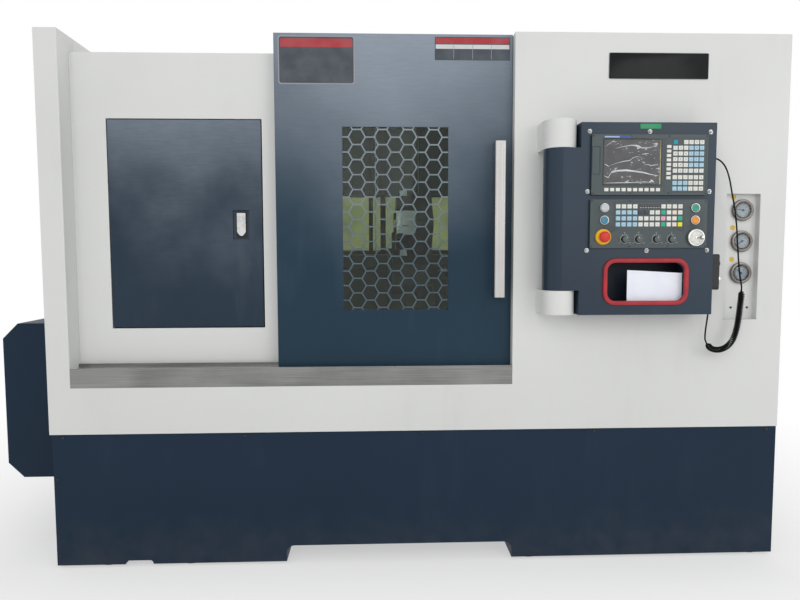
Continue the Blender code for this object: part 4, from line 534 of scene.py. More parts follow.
@dataclass(frozen=True)
class SheenPaintedEnamel(Enamel):
    """Dark enamel whose upper part carries a painted sheen: a paler band that stands for reflected light, streaked by
    wiped lines.

    Attributes:
        painted_sheen: The colour of the painted sheen, which stands for reflected light.
        sheen_low: The height where the painted sheen starts, in metres.
        sheen_high: The height where it is full.
        sheen_share: How strong it is.
        sheen_middle: The x of the painted sheen's middle.
        sheen_narrowing: How much higher it starts for each metre away from its middle.
        cloud_depth: How far clouds move its edge, in metres.
        wiping: How strongly wiped lines show in it.
    """

    painted_sheen: Colour = (0.2, 0.25, 0.3)
    sheen_low: float = 1.2
    sheen_high: float = 1.9
    sheen_share: float = 0.5
    sheen_middle: float = 0.0
    sheen_narrowing: float = 0.0
    cloud_depth: float = 0.35
    wiping: float = 0.05

    def lay_out(self, sheet: NodeSheet, shader: bpy.types.Node) -> None:
        """Lay the painted sheen, a paler band that stands for reflected light, over the enamel's own colour.

        Args:
            sheet: The material's nodes.
            shader: Its Principled shader.
        """
        super().lay_out(sheet, shader)
        below = shader.inputs["Base Color"].links[0].from_socket
        place = sheet.place()
        spot = sheet.split(place)
        cloud = sheet.math("SUBTRACT", sheet.noise(place, 3.2, 6.0), 0.5)
        height = sheet.math("ADD", spot["Z"], sheet.math("MULTIPLY", cloud, self.cloud_depth))
        away = sheet.math("ABSOLUTE", sheet.math("SUBTRACT", spot["X"], self.sheen_middle))
        height = sheet.math("SUBTRACT", height, sheet.math("MULTIPLY", away, self.sheen_narrowing))
        # Painted reflection: lighter upwards and towards the middle x, with cloudy edges
        mask = sheet.ranged(height, self.sheen_low, self.sheen_high, (0.0, self.sheen_share), smooth=True)
        lines = effect(sheet, EFFECTS.brushing(), Across_X=16.0, Across_Y=16.0, Across_Z=150.0).outputs["Value"]
        wiped = sheet.ranged(lines, 0.3, 0.7, (1.0 - self.wiping, 1.0 + self.wiping))
        mask = sheet.math("MULTIPLY", sheet.math("ADD", mask, self.wiping * 0.3), wiped)
        sheet.link(sheet.mixed(mask, below, self.painted_sheen), shader.inputs["Base Color"])


@dataclass(frozen=True)
class BrushedMetal(Finish):
    """Brushed or ground metal with fine lines and dull patches.

    Attributes:
        across: The lines' scale along X, Y and Z. They run along the smallest.
        height: The lines' strength.
        dull: The colour of dull patches.
        contrast: How much the lines change the colour.
    """

    across: tuple[float, float, float] = (4.0, 400.0, 400.0)
    height: float = 0.08
    dull: Colour = (0.3, 0.28, 0.26)
    contrast: float = 0.3

    def lay_out(self, sheet: NodeSheet, shader: bpy.types.Node) -> None:
        """Vary the colour and roughness by the lines and by dull patches.

        Args:
            sheet: The material's nodes.
            shader: Its Principled shader.
        """
        shader.inputs["Metallic"].default_value = 1.0
        across = {f"Across_{axis.value}": scale for axis, scale in zip(Axis, self.across)}
        lines = effect(sheet, EFFECTS.brushing(), Height=self.height, **across)
        patches = effect(sheet, EFFECTS.mottle(), Scale=5.0, Sharpness=0.5).outputs["Mask"]
        share = sheet.ranged(lines.outputs["Value"], 0.3, 0.7, (0.0, self.contrast))
        share = sheet.math("ADD", share, sheet.math("MULTIPLY", patches, self.contrast * 0.6))
        sheet.link(sheet.mixed(share, self.colour, self.dull), shader.inputs["Base Color"])
        rough = sheet.ranged(patches, 0.0, 1.0, (self.roughness - 0.05, self.roughness + 0.08))
        sheet.link(rough, shader.inputs["Roughness"])
        sheet.link(lines.outputs["Normal"], shader.inputs["Normal"])


@dataclass(frozen=True)
class Polished(Finish):
    """Chrome or polished steel with faint finger marks."""

    def lay_out(self, sheet: NodeSheet, shader: bpy.types.Node) -> None:
        """Vary the roughness by finger marks.

        Args:
            sheet: The material's nodes.
            shader: Its Principled shader.
        """
        shader.inputs["Metallic"].default_value = 1.0
        marks = effect(sheet, EFFECTS.mottle(), Scale=40.0, Sharpness=0.6).outputs["Mask"]
        sheet.link(sheet.ranged(marks, 0.0, 1.0, (self.roughness, self.roughness + 0.14)), shader.inputs["Roughness"])
        sheet.link(sheet.mixed(sheet.math("MULTIPLY", marks, 0.25), self.colour, linear(120, 118, 116)),
                   shader.inputs["Base Color"])


@dataclass(frozen=True)
class Moulded(Finish):
    """Moulded plastic, rubber or a casting's enamel, with a matt grain.

    Attributes:
        grain: The grain's scale.
        height: The grain's strength.
        worn: The colour of rubbed and dusty patches.
        worn_share: How strong they are.
        specular: The shader's specular level.
    """

    grain: float = 900.0
    height: float = 0.15
    worn: Colour = (0.3, 0.3, 0.3)
    worn_share: float = 0.12
    specular: float = 0.4

    def lay_out(self, sheet: NodeSheet, shader: bpy.types.Node) -> None:
        """Mix rubbed patches into the colour, and give the grain its normal.

        Args:
            sheet: The material's nodes.
            shader: Its Principled shader.
        """
        shader.inputs["Specular IOR Level"].default_value = self.specular
        grain = effect(sheet, EFFECTS.grain(), Scale=self.grain, Height=self.height)
        patches = effect(sheet, EFFECTS.mottle(), Scale=18.0, Sharpness=0.5).outputs["Mask"]
        share = sheet.math("MULTIPLY", patches, self.worn_share)
        sheet.link(sheet.mixed(share, self.colour, self.worn), shader.inputs["Base Color"])
        rough = sheet.ranged(grain.outputs["Value"], 0.3, 0.7, (self.roughness - 0.05, self.roughness + 0.05))
        sheet.link(rough, shader.inputs["Roughness"])
        sheet.link(grain.outputs["Normal"], shader.inputs["Normal"])


@dataclass(frozen=True)
class Pane(Finish):
    """A clear sheet that light passes through.

    Attributes:
        smear: How rough the wiped patches are.
    """

    smear: float = 0.12

    def lay_out(self, sheet: NodeSheet, shader: bpy.types.Node) -> None:
        """Let light through, with wiped patches.

        Args:
            sheet: The material's nodes.
            shader: Its Principled shader.
        """
        shader.inputs["Transmission Weight"].default_value = 1.0
        shader.inputs["IOR"].default_value = 1.3
        wiped = effect(sheet, EFFECTS.smears(), Scale=5.0, Cover=0.6).outputs["Mask"]
        sheet.link(sheet.ranged(wiped, 0.0, 1.0, (self.roughness, self.smear)), shader.inputs["Roughness"])


@dataclass(frozen=True)
class Glow(Finish):
    """An emissive sheet. On the inner guards, which are no lamps, it is painted light: the work lamp's glow in
    patches, with painted shade; on the lamp's tube it is the lamp's own light.

    Attributes:
        glow: The lit colour.
        shade: The colour of its darker patches of painted shade.
        strength: How strongly it shows.
        middle: The x where the lamp's light is full.
        reach: How far from there it has faded to the shade, in metres.
    """

    glow: Colour = (0.4, 0.45, 0.15)
    shade: Colour = (0.1, 0.1, 0.1)
    strength: float = 0.5
    middle: float = 0.0
    reach: float = 9.0

    def lay_out(self, sheet: NodeSheet, shader: bpy.types.Node) -> None:
        """Light the sheet unevenly, in patches.

        Args:
            sheet: The material's nodes.
            shader: Its Principled shader.
        """
        place = sheet.place()
        spread = sheet.math("MULTIPLY", sheet.noise(place, 14.0, 3.0), 0.8)
        both = sheet.math("ADD", spread, sheet.math("MULTIPLY", sheet.noise(place, 60.0, 4.0), 0.2))
        away = sheet.math("ABSOLUTE", sheet.math("SUBTRACT", sheet.split(place)["X"], self.middle))
        near = sheet.ranged(away, 0.0, self.reach, (1.0, 0.25), smooth=True)
        lit = sheet.mixed(sheet.math("MULTIPLY", sheet.ranged(both, 0.3, 0.64), near), self.shade, self.glow)
        sheet.link(lit, shader.inputs["Emission Color"])
        shader.inputs["Emission Strength"].default_value = self.strength


@dataclass(frozen=True)
class ScreenFilm(Finish):
    """A dark screen under a loose protective film, with painted highlights: white specks that stand for light caught
    on its wrinkles, and ripples.
    """

    def lay_out(self, sheet: NodeSheet, shader: bpy.types.Node) -> None:
        """Paint the film's white specks as highlights, and give it ripples.

        Args:
            sheet: The material's nodes.
            shader: Its Principled shader.
        """
        place = sheet.place()
        painted_glints = sheet.noise(sheet.stretched(place, 0.2, (70.0, 70.0, 170.0)), 1.0, 1.0)
        patches = sheet.noise(place, 26.0, 2.0)
        # Painted highlight: the specks mix towards near white
        mask = sheet.ranged(sheet.math("MULTIPLY", painted_glints, patches), 0.385, 0.43, (0.0, 0.7))
        body = sheet.mixed(sheet.ranged(patches, 0.3, 0.7), self.colour, linear(62, 63, 65))
        sheet.link(sheet.mixed(mask, body, linear(205, 208, 210)), shader.inputs["Base Color"])
        ripple = sheet.bump(sheet.noise(place, 45.0, 2.0), 0.002, 0.4)
        sheet.link(ripple, shader.inputs["Normal"])


@dataclass(frozen=True)
class Keycap(Moulded):
    """The satin plastic of keycaps."""

    roughness: float = 0.45
    height: float = 0.05


@dataclass(frozen=True)
class Printed(Moulded):
    """Printed film, which is nearly smooth."""

    roughness: float = 0.4
    grain: float = 300.0
    height: float = 0.03


@dataclass(frozen=True)
class Lens(Moulded):
    """The glossy plastic of a press button."""

    roughness: float = 0.25
    grain: float = 200.0
    height: float = 0.03


CREAM = Enamel(
    "cream_enamel", linear(220, 221, 219), 0.42, patch=linear(212, 213, 211), streak=linear(200, 200, 196),
    texture=520.0, height=0.1, patch_share=0.5, streak_share=0.22,
)
NAVY = Enamel(
    "navy_enamel", linear(24, 42, 60), 0.46, patch=linear(31, 47, 65), streak=linear(66, 78, 92), texture=420.0,
    height=0.28, patch_share=0.6, streak_share=0.1, dust_reach=0.3, specular=0.16,
)
# The door, grille and cabinet enamels carry a painted sheen, lighter towards the top and, on the doors, towards a
# middle x: painted reflection of the bright surroundings
NAVY_DOOR = SheenPaintedEnamel(
    "navy_door_enamel", linear(22, 48, 65), 0.4, patch=linear(29, 54, 71), streak=linear(78, 94, 108), texture=420.0,
    height=0.22, patch_share=0.6, streak_share=0.14, specular=0.18, painted_sheen=linear(150, 161, 173), sheen_low=0.95,
    sheen_high=2.05, sheen_share=0.9, sheen_middle=0.05, sheen_narrowing=0.55,
)
GRILLE = SheenPaintedEnamel(
    "grille_enamel", linear(74, 90, 98), 0.4, patch=linear(90, 106, 114), streak=linear(96, 110, 118), texture=420.0,
    height=0.15, patch_share=0.5, streak_share=0.1, specular=0.2, painted_sheen=linear(158, 171, 176), sheen_low=1.05,
    sheen_high=1.75, sheen_share=0.85,
)
NAVY_CABINET = SheenPaintedEnamel(
    "navy_cabinet_enamel", linear(28, 45, 61), 0.38, patch=linear(38, 54, 69), streak=linear(84, 94, 104),
    texture=300.0, height=0.35, patch_share=0.8, streak_share=0.22, specular=0.18, painted_sheen=linear(122, 132, 143),
    sheen_low=1.02, sheen_high=1.78, sheen_share=0.82, sheen_middle=-0.715, sheen_narrowing=0.4, cloud_depth=0.75,
    wiping=0.1,
)
NAVY_PENDANT = Enamel(
    "navy_pendant_enamel", linear(27, 44, 60), 0.34, patch=linear(36, 54, 70), streak=linear(80, 92, 104),
    texture=600.0, height=0.15, patch_share=0.6, streak_share=0.15, specular=0.35,
)
STAINLESS = BrushedMetal(
    "brushed_stainless", linear(151, 151, 150), 0.36, across=(5.0, 420.0, 420.0), height=0.08, dull=linear(98, 98, 98),
    contrast=0.45,
)
# Painted reflection: a much brighter copy of the brushed stainless for the sill's upward faces, standing for the cream
# panel mirrored in them
SILL_TOP_PAINTED_REFLECTION = BrushedMetal(
    "sill_top_painted_reflection", linear(228, 228, 226), 0.3, across=(5.0, 420.0, 420.0), height=0.05,
    dull=linear(180, 180, 178), contrast=0.3,
)
HANDLE_STEEL = BrushedMetal(
    "handle_steel", linear(206, 205, 203), 0.3, across=(300.0, 300.0, 3.0), height=0.06, dull=linear(150, 146, 142),
    contrast=0.4,
)
GROUND_STEEL = BrushedMetal(
    "ground_steel", linear(150, 152, 154), 0.3, across=(6.0, 320.0, 320.0), height=0.05, dull=linear(110, 112, 114),
    contrast=0.3,
)
CHUCK_STEEL = BrushedMetal(
    "turned_steel", linear(160, 162, 165), 0.26, across=(260.0, 30.0, 30.0), height=0.05, dull=linear(100, 102, 104),
    contrast=0.35,
)
CHROME = Polished("chrome_plate", linear(214, 214, 214), 0.08)
SATIN_CHROME = Polished("satin_chrome", linear(205, 205, 204), 0.22)
CASTING = Moulded(
    "casting_enamel", linear(112, 118, 114), 0.5, grain=220.0, height=0.35, worn=linear(84, 88, 86), worn_share=0.3,
)
PANEL_GREY = Moulded(
    "panel_grey", linear(86, 98, 95), 0.48, grain=700.0, height=0.18, worn=linear(108, 118, 114), worn_share=0.35,
)
PANEL_LINE = Moulded("panel_edge_line", linear(44, 52, 52), 0.5)
BLACK = Moulded("black_moulding", linear(26, 27, 29), 0.42, grain=800.0, height=0.15, worn=linear(60, 60, 60))
BLACK_OXIDE = Moulded("black_oxide", linear(30, 29, 30), 0.35, height=0.1, worn=linear(88, 84, 80), worn_share=0.3)
RUBBER = Moulded("black_rubber", linear(22, 22, 22), 0.55, grain=500.0, height=0.2, worn=linear(66, 64, 62))
CORD_JACKET = Moulded(
    "cord_jacket", linear(13, 13, 15), 0.6, grain=400.0, height=0.08, worn=linear(30, 30, 33), specular=0.12,
)
RED_RUBBER = Moulded(
    "red_edge_trim", linear(178, 44, 54), 0.5, grain=500.0, height=0.12, worn=linear(120, 30, 38), worn_share=0.4,
)
RED = Moulded("stop_red", linear(206, 52, 44), 0.35, grain=800.0, height=0.05, worn=linear(150, 36, 32))
YELLOW = Moulded("stop_yellow", linear(242, 182, 24), 0.4, grain=800.0, height=0.05, worn=linear(190, 140, 20))
WHITE_KEY = Keycap("white_key", linear(226, 226, 220), worn=linear(180, 178, 170))
BLUE_KEY = Keycap("pale_blue_key", linear(168, 204, 222), worn=linear(140, 170, 190))
TEAL_KEY = Keycap("teal_key", linear(24, 150, 170), worn=linear(20, 110, 124))
GREEN_KEY = Keycap("green_key", linear(46, 176, 138), worn=linear(40, 130, 104))
PINK_KEY = Keycap("pink_key", linear(232, 168, 196), worn=linear(190, 130, 156))
PEACH_KEY = Keycap("peach_key", linear(232, 214, 202), worn=linear(190, 168, 156))
YELLOW_KEY = Keycap("yellow_key", linear(240, 226, 30), worn=linear(190, 176, 30))
DARK_KEY = Keycap("dark_key", linear(58, 64, 70), worn=linear(90, 94, 98))
INK = Finish("key_ink", linear(58, 62, 68), 0.6)
SCALE_INK = Finish("scale_ink", linear(178, 186, 182), 0.6)
WHITE_INK = Finish("panel_ink", linear(214, 218, 214), 0.6)
PAPER = Moulded(
    "printer_paper", linear(240, 243, 252), 0.85, grain=300.0, height=0.06, worn=linear(224, 228, 244), worn_share=0.3,
)
# Painted shade: a near-black finish for the pocket's inside, where only shade falls
POCKET_PAINTED_SHADE = Moulded("pocket_painted_shade", linear(13, 24, 38), 0.6, grain=500.0, height=0.1, worn=linear(28, 40, 54))
KNOB_CAP = Moulded(
    "knob_cap_grey", linear(80, 90, 90), 0.45, grain=700.0, height=0.15, worn=linear(104, 112, 110), worn_share=0.3,
)
GAUGE_STEEL = Polished("gauge_ring_steel", linear(112, 106, 102), 0.16)
GAUGE_BORE = Moulded("gauge_bore", linear(46, 42, 42), 0.4, grain=500.0, height=0.05, worn=linear(80, 74, 72))
SCREEN = ScreenFilm("screen_film", linear(38, 38, 41), 0.22)
# Painted highlights: white strips that stand for light caught on the screen film's creases
CREASE_HIGHLIGHT = Moulded(
    "film_painted_highlight", linear(226, 228, 228), 0.25, grain=300.0, height=0.1, worn=linear(150, 152, 154), worn_share=0.6,
)
FILM_EDGE = Moulded(
    "film_edge", linear(206, 198, 156), 0.35, grain=200.0, height=0.4, worn=linear(120, 112, 86), worn_share=0.9,
)
WINDOW = Pane("laminated_pane", linear(214, 226, 216), 0.02)
DIAL_GLASS = Pane("dial_glass", linear(240, 244, 244), 0.01, smear=0.04)
DIAL_WHITE = Moulded(
    "dial_face", linear(176, 186, 196), 0.5, grain=500.0, height=0.05, worn=linear(120, 130, 142), worn_share=0.4,
)
BADGE_BLACK = Moulded(
    "badge_gloss_black", linear(16, 17, 19), 0.22, grain=60.0, height=0.02, worn=linear(40, 42, 44), specular=0.16,
)
LABEL_DARK = Printed("label_dark_field", linear(62, 68, 76), worn=linear(88, 94, 102), worn_share=0.5)
LABEL_RED = Printed("label_red_band", linear(168, 44, 52))
LABEL_WHITE = Printed("label_white_band", linear(206, 208, 208))
LABEL_GREY = Printed("label_grey_edge", linear(150, 152, 156))
BLUE_STRIP = Printed("blue_strip", linear(40, 74, 150), 0.35)
PALE_STRIP = Printed("pale_strip", linear(150, 176, 206), 0.35)
GREEN_TAG = Printed("green_tag", linear(24, 142, 92))
YELLOW_TAG = Printed("yellow_tag", linear(214, 180, 60))
GREEN_CAP = Lens("green_lens", linear(22, 156, 122))
ORANGE_CAP = Lens("orange_lens", linear(236, 146, 34))
BLUE_CAP = Lens("blue_lens", linear(40, 130, 160))
SILVER_CAP = Lens("silver_lens", linear(196, 200, 204), 0.3)
# The inner guards glow, though they are no lamps: painted light and shade from the work lamp
LIT_GUARD = Glow(
    "lit_inner_guard", linear(96, 100, 84), 0.6, glow=linear(210, 212, 116), shade=linear(114, 122, 98), strength=0.75,
    middle=1.27, reach=0.32,
)
DIM_GUARD = Glow(
    "dim_inner_guard", linear(38, 46, 44), 0.7, glow=linear(66, 80, 76), shade=linear(46, 56, 54), strength=0.16,
)
DARK_GUARD = Glow(
    "dark_inner_guard", linear(50, 56, 56), 0.7, glow=linear(44, 54, 54), shade=linear(30, 36, 36), strength=0.2,
)
GUARD_POST = Moulded(
    "guard_post", linear(40, 44, 40), 0.5, grain=300.0, height=0.1, worn=linear(84, 84, 66), worn_share=0.4,
)
LAMP_TUBE = Glow(
    "work_lamp", linear(220, 226, 214), 0.4, glow=linear(236, 240, 214), shade=linear(220, 224, 200), strength=0.9,
)


# Shapes


def bevelled(bm: Mesh, edges: Iterable[bmesh.types.BMEdge], width: float, steps: int) -> None:
    """Round some edges.

    Args:
        bm: The mesh.
        edges: The edges.
        width: How far the rounding reaches from each edge.
        steps: Its segments.
    """
    bmesh.ops.bevel(
        bm, geom=list(edges), offset=width, offset_type="OFFSET", affect="EDGES", segments=steps, profile=0.5,
        material=-1, clamp_overlap=True,
    )


def slab(low: Point, high: Point, edge: float = 0.0, steps: int = 2) -> Mesh:
    """A box with rounded edges.

    Args:
        low: Its lowest corner.
        high: Its highest corner.
        edge: The rounding's width.
        steps: The rounding's segments.

    Returns:
        The mesh.
    """
    bm = bmesh.new()
    low, high = Vector(low), Vector(high)
    place = Matrix.Translation((low + high) / 2) @ Matrix.Diagonal(high - low).to_4x4()
    bmesh.ops.create_cube(bm, size=1.0, matrix=place)
    if edge:
        bevelled(bm, bm.edges[:], edge, steps)
    return bm


def plate(
    low: Point, high: Point, corner: float, edge: float = 0.0, axis: Axis = Axis.Y, steps: int = 5
) -> Mesh:
    """A plate with round corners, and with a softened rim on both faces.

    Args:
        low: Its lowest corner.
        high: Its highest corner.
        corner: The corners' radius.
        edge: The rim's rounding.
        axis: The direction that it is thin in.
        steps: The corners' segments.

    Returns:
        The mesh.
    """
    bm = slab(low, high)
    index = "XYZ".index(axis.value)
    along = [e for e in bm.edges if abs((e.verts[0].co - e.verts[1].co)[index]) > SAME_PLACE]
    bevelled(bm, along, corner, steps)
    if edge:
        rims = [e for e in bm.edges if abs((e.verts[0].co - e.verts[1].co)[index]) < SAME_PLACE]
        bevelled(bm, rims, edge, 2)
    return bm


def frame_ring(low: Point, high: Point, width: float, corner: float, edge: float = 0.0) -> Mesh:
    """A flat rectangular ring with round corners that faces the front.

    Args:
        low: Its lowest corner.
        high: Its highest corner.
        width: The ring's width.
        corner: The outer corners' radius.
        edge: The rounding of its front rims.

    Returns:
        The mesh.
    """
    bm = bmesh.new()
    centre = Vector(((low[0] + high[0]) / 2, high[1], (low[2] + high[2]) / 2))
    turn = Matrix.Rotation(math.pi / 2, 4, "X")
    size = Matrix.Diagonal((high[0] - low[0], 1.0, high[2] - low[2], 1.0))
    bmesh.ops.create_grid(bm, x_segments=1, y_segments=1, size=0.5, matrix=Matrix.Translation(centre) @ size @ turn)
    if corner:
        bmesh.ops.bevel(bm, geom=bm.verts[:], offset=corner, offset_type="OFFSET", affect="VERTICES", segments=5,
                        profile=0.5, material=-1)
    inner = bmesh.ops.inset_region(bm, faces=bm.faces[:], thickness=width, use_boundary=True, use_even_offset=True)
    inside = [f for f in bm.faces if f not in set(inner["faces"])]
    bmesh.ops.delete(bm, geom=inside, context="FACES_ONLY")
    grown = bmesh.ops.extrude_face_region(bm, geom=bm.faces[:])
    moved = [v for v in grown["geom"] if isinstance(v, bmesh.types.BMVert)]
    bmesh.ops.translate(bm, verts=moved, vec=Vector((0.0, low[1] - high[1], 0.0)))
    bmesh.ops.recalc_face_normals(bm, faces=bm.faces[:])
    if edge:
        front = [e for e in bm.edges if all(abs(v.co.y - low[1]) < SAME_PLACE for v in e.verts)
                 and e.calc_face_angle(0.0) > 1.0]
        bevelled(bm, front, edge, 2)
    return bm


def lathed(profile: Sequence[Point], axis: Axis, centre: Point, steps: int = 48) -> Mesh:
    """A profile turned about an axis.

    Args:
        profile: Points of (along, radius). Its ends lie on the axis, or it is a closed ring's outline.
        axis: The axis's direction.
        centre: A point on the axis. Along is measured from it.
        steps: The turn's segments.

    Returns:
        The mesh, with its faces outward.
    """
    bm = bmesh.new()
    verts = [bm.verts.new((radius, 0.0, along)) for along, radius in profile]
    pairs = list(zip(verts, verts[1:]))
    if all(radius > 0 for _, radius in profile):
        pairs.append((verts[-1], verts[0]))
    edges = [bm.edges.new(pair) for pair in pairs]
    bmesh.ops.spin(bm, geom=verts + edges, cent=(0, 0, 0), axis=(0, 0, 1), angle=math.tau, steps=steps,
                   use_merge=True, use_duplicate=False)
    bmesh.ops.remove_doubles(bm, verts=bm.verts[:], dist=SAME_PLACE)
    bmesh.ops.recalc_face_normals(bm, faces=bm.faces[:])
    bmesh.ops.transform(bm, matrix=Matrix.Translation(Vector(centre)) @ axis.matrix(), verts=bm.verts[:])
    return bm


def rod(start: Point, axis: Axis, length: float, radius: float, edge: float = 0.0, sides: int = 24) -> Mesh:
    """A round or many-sided bar.

    Args:
        start: The middle of its first end.
        axis: Its direction.
        length: Its length along the axis.
        radius: Its corner radius.
        edge: The rounding of its two rims.
        sides: Its number of sides.

    Returns:
        The mesh.
    """
    bm = bmesh.new()
    place = Matrix.Translation(Vector(start)) @ axis.matrix() @ Matrix.Translation((0, 0, length / 2))
    bmesh.ops.create_cone(bm, cap_ends=True, segments=sides, radius1=radius, radius2=radius, depth=abs(length))
    if edge:
        rims = [e for e in bm.edges if abs((e.verts[0].co - e.verts[1].co).z) < 1e-9]
        bevelled(bm, rims, edge, 2)
    bmesh.ops.transform(bm, matrix=place, verts=bm.verts[:])
    return bm


def gathered(parts: Iterable[Mesh]) -> Mesh:
    """Several meshes as one.

    Args:
        parts: The meshes, which are used up.

    Returns:
        The one mesh.
    """
    whole = bmesh.new()
    for part in parts:
        mesh = bpy.data.meshes.new("part")
        part.to_mesh(mesh)
        part.free()
        whole.from_mesh(mesh)
        bpy.data.meshes.remove(mesh)
    return whole


def lettering(text: str, size: float, centre: Point, thickness: float = 0.0001) -> Mesh:
    """Raised lettering that faces the front, for digits and axis letters.

    Args:
        text: What it says.
        size: The letters' size.
        centre: Its middle.
        thickness: How thick it is.

    Returns:
        The mesh.
    """
    curve = bpy.data.curves.new("lettering", "FONT")
    curve.body, curve.size, curve.extrude, curve.resolution_u = text, size, thickness / 2, 1
    curve.align_x, curve.align_y = "CENTER", "CENTER"
    holder = bpy.data.objects.new("lettering", curve)
    mesh = bpy.data.meshes.new_from_object(holder)
    bm = bmesh.new()
    bm.from_mesh(mesh)
    place = Matrix.Translation(Vector(centre)) @ Matrix.Rotation(math.pi / 2, 4, "X")
    bmesh.ops.transform(bm, matrix=place, verts=bm.verts[:])
    bpy.data.objects.remove(holder)
    bpy.data.curves.remove(curve)
    bpy.data.meshes.remove(mesh)
    return bm


def ribbon(line: Sequence[Point], width: float, face: float) -> Mesh:
    """A thin strip along a line on a panel's face, tapered at both ends.

    Args:
        line: The line's (x, z) points.
        width: The strip's greatest width.
        face: The y of its surface.

    Returns:
        The mesh.
    """
    bm = bmesh.new()
    verts = [bm.verts.new((x, face, z)) for x, z in line]
    edges = [bm.edges.new(pair) for pair in zip(verts, verts[1:])]
    grown = bmesh.ops.extrude_edge_only(bm, edges=edges)
    upper = [v for v in grown["geom"] if isinstance(v, bmesh.types.BMVert)]
    for vert in upper:
        nearest = min(range(len(verts)), key=lambda i: (verts[i].co - vert.co).length)
        share = math.sin(math.pi * (nearest + 0.35) / (len(verts) - 0.3))
        vert.co.z += width * max(share, 0.12)
        vert.co.y -= 0.0002
    bmesh.ops.recalc_face_normals(bm, faces=bm.faces[:])
    bmesh.ops.solidify(bm, geom=bm.faces[:], thickness=0.0001)
    return bm


def spoke(low: Point, high: Point, angle: float, centre: Point) -> Mesh:
    """A bar on a dial, drawn at the dial's top and turned about its middle.

    Args:
        low: The bar's lowest corner, from the dial's middle.
        high: Its highest corner.
        angle: The turn in radians.
        centre: The dial's middle.

    Returns:
        The mesh.
    """
    bar = slab(low, high)
    bmesh.ops.rotate(bar, cent=(0, 0, 0), matrix=Matrix.Rotation(angle, 3, "Y"), verts=bar.verts[:])
    bmesh.ops.translate(bar, verts=bar.verts[:], vec=centre)
    return bar


def around(centre: Point, radius: float, angle: float, lift: float) -> Vector:
    """A point on a dial.

    Args:
        centre: The dial's middle.
        radius: How far from the middle it is.
        angle: Its angle from the dial's top, in radians.
        lift: How far it stands off the dial.

    Returns:
        The point.
    """
    return Vector(centre) + Vector((radius * math.sin(angle), -lift, radius * math.cos(angle)))


def shown(name: str, bm: Mesh, finish: Finish) -> bpy.types.Object:
    """Put a shape in the scene with its finish.

    Args:
        name: The object's name.
        bm: The shape, which is used up.
        finish: The finish.

    Returns:
        The object.
    """
    mesh = bpy.data.meshes.new(name)
    bm.to_mesh(mesh)
    bm.free()
    mesh.materials.append(finish.material())
    made = bpy.data.objects.new(name, mesh)
    bpy.context.collection.objects.link(made)
    return made


@dataclass
class Workshop:
    """Turns shapes drawn in the machine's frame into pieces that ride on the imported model.

    Attributes:
        shift: The machine frame's origin in the part's frame.
        nodes: The object name of each CAD node.
        made: How many pieces there are so far.
    """

    shift: Vector
    nodes: dict[str, str]
    made: int = 0

    def piece(self, name: str, shape: Mesh | list[Mesh], finish: Finish, body: Body, smooth: float = 40.0,
              stands_for: Sequence[str] = ()) -> bpy.types.Object:
        """A finished piece.

        Args:
            name: The piece's name.
            shape: Its mesh, or the meshes it is made of, in the machine's frame. They are used up.
            finish: Its finish.
            body: The body that it rides on.
            smooth: The angle in degrees above which an edge stays sharp.
            stands_for: CAD nodes that it replaces.

        Returns:
            The piece's object.
        """
        bm = gathered(shape) if isinstance(shape, list) else shape
        bmesh.ops.translate(bm, verts=bm.verts[:], vec=self.shift)
        made = shown(name, bm, finish)
        made.data.shade_smooth()
        made.data.set_sharp_from_angle(angle=math.radians(smooth))
        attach(made, body.value)
        if stands_for:
            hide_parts(*stands_for)
        self.made += 1
        LOG.info("piece %d: %s on %s", self.made, name, body.value)
        return made

    def softened(self, node: str, finish: Finish, body: Body, width: float, smooth: float = 30.0) -> bpy.types.Object:
        """A CAD node's shape with softened edges and smooth curves, in place of the node.

        Args:
            node: The node.
            finish: Its finish.
            body: The body that it rides on.
            width: The width of the softening.
            smooth: The angle in degrees under which facets are shaded as one curve.

        Returns:
            The piece's object.
        """
        bm = bmesh.new()
        bm.from_mesh(bpy.data.objects[self.nodes[node]].data)
        bmesh.ops.remove_doubles(bm, verts=bm.verts[:], dist=1e-6)
        bmesh.ops.dissolve_limit(bm, angle_limit=math.radians(0.5), use_dissolve_boundaries=False,
                                 verts=bm.verts[:], edges=bm.edges[:])
        wide = [face for face in bm.faces
                if face.calc_perimeter() > LONG_OUTLINE and not all(corner.is_convex for corner in face.loops)]
        bmesh.ops.triangulate(bm, faces=wide)
        bmesh.ops.translate(bm, verts=bm.verts[:], vec=-self.shift)
        made = self.piece(f"{node}_finished", bm, finish, body, smooth, [node])
        for face in made.data.polygons:
            square_on = max(abs(part) for part in face.normal) > 0.99999
            if face.area > (FLAT_SQUARE_ON if square_on else FLAT_SLANTED):
                face.use_smooth = False
        if width:
            bevel = made.modifiers.new("soft_edges", "BEVEL")
            bevel.width, bevel.segments, bevel.limit_method = width, 2, "ANGLE"
            bevel.angle_limit = EDGE_ANGLE
            bevel.harden_normals = True
        return made

    def dressed(self, node: str, finish: Finish) -> None:
        """Give a CAD node's own mesh a finish.

        Args:
            node: The node.
            finish: The finish.
        """
        materials = bpy.data.objects[self.nodes[node]].data.materials
        materials.clear()
        materials.append(finish.material())


# Sub-assemblies


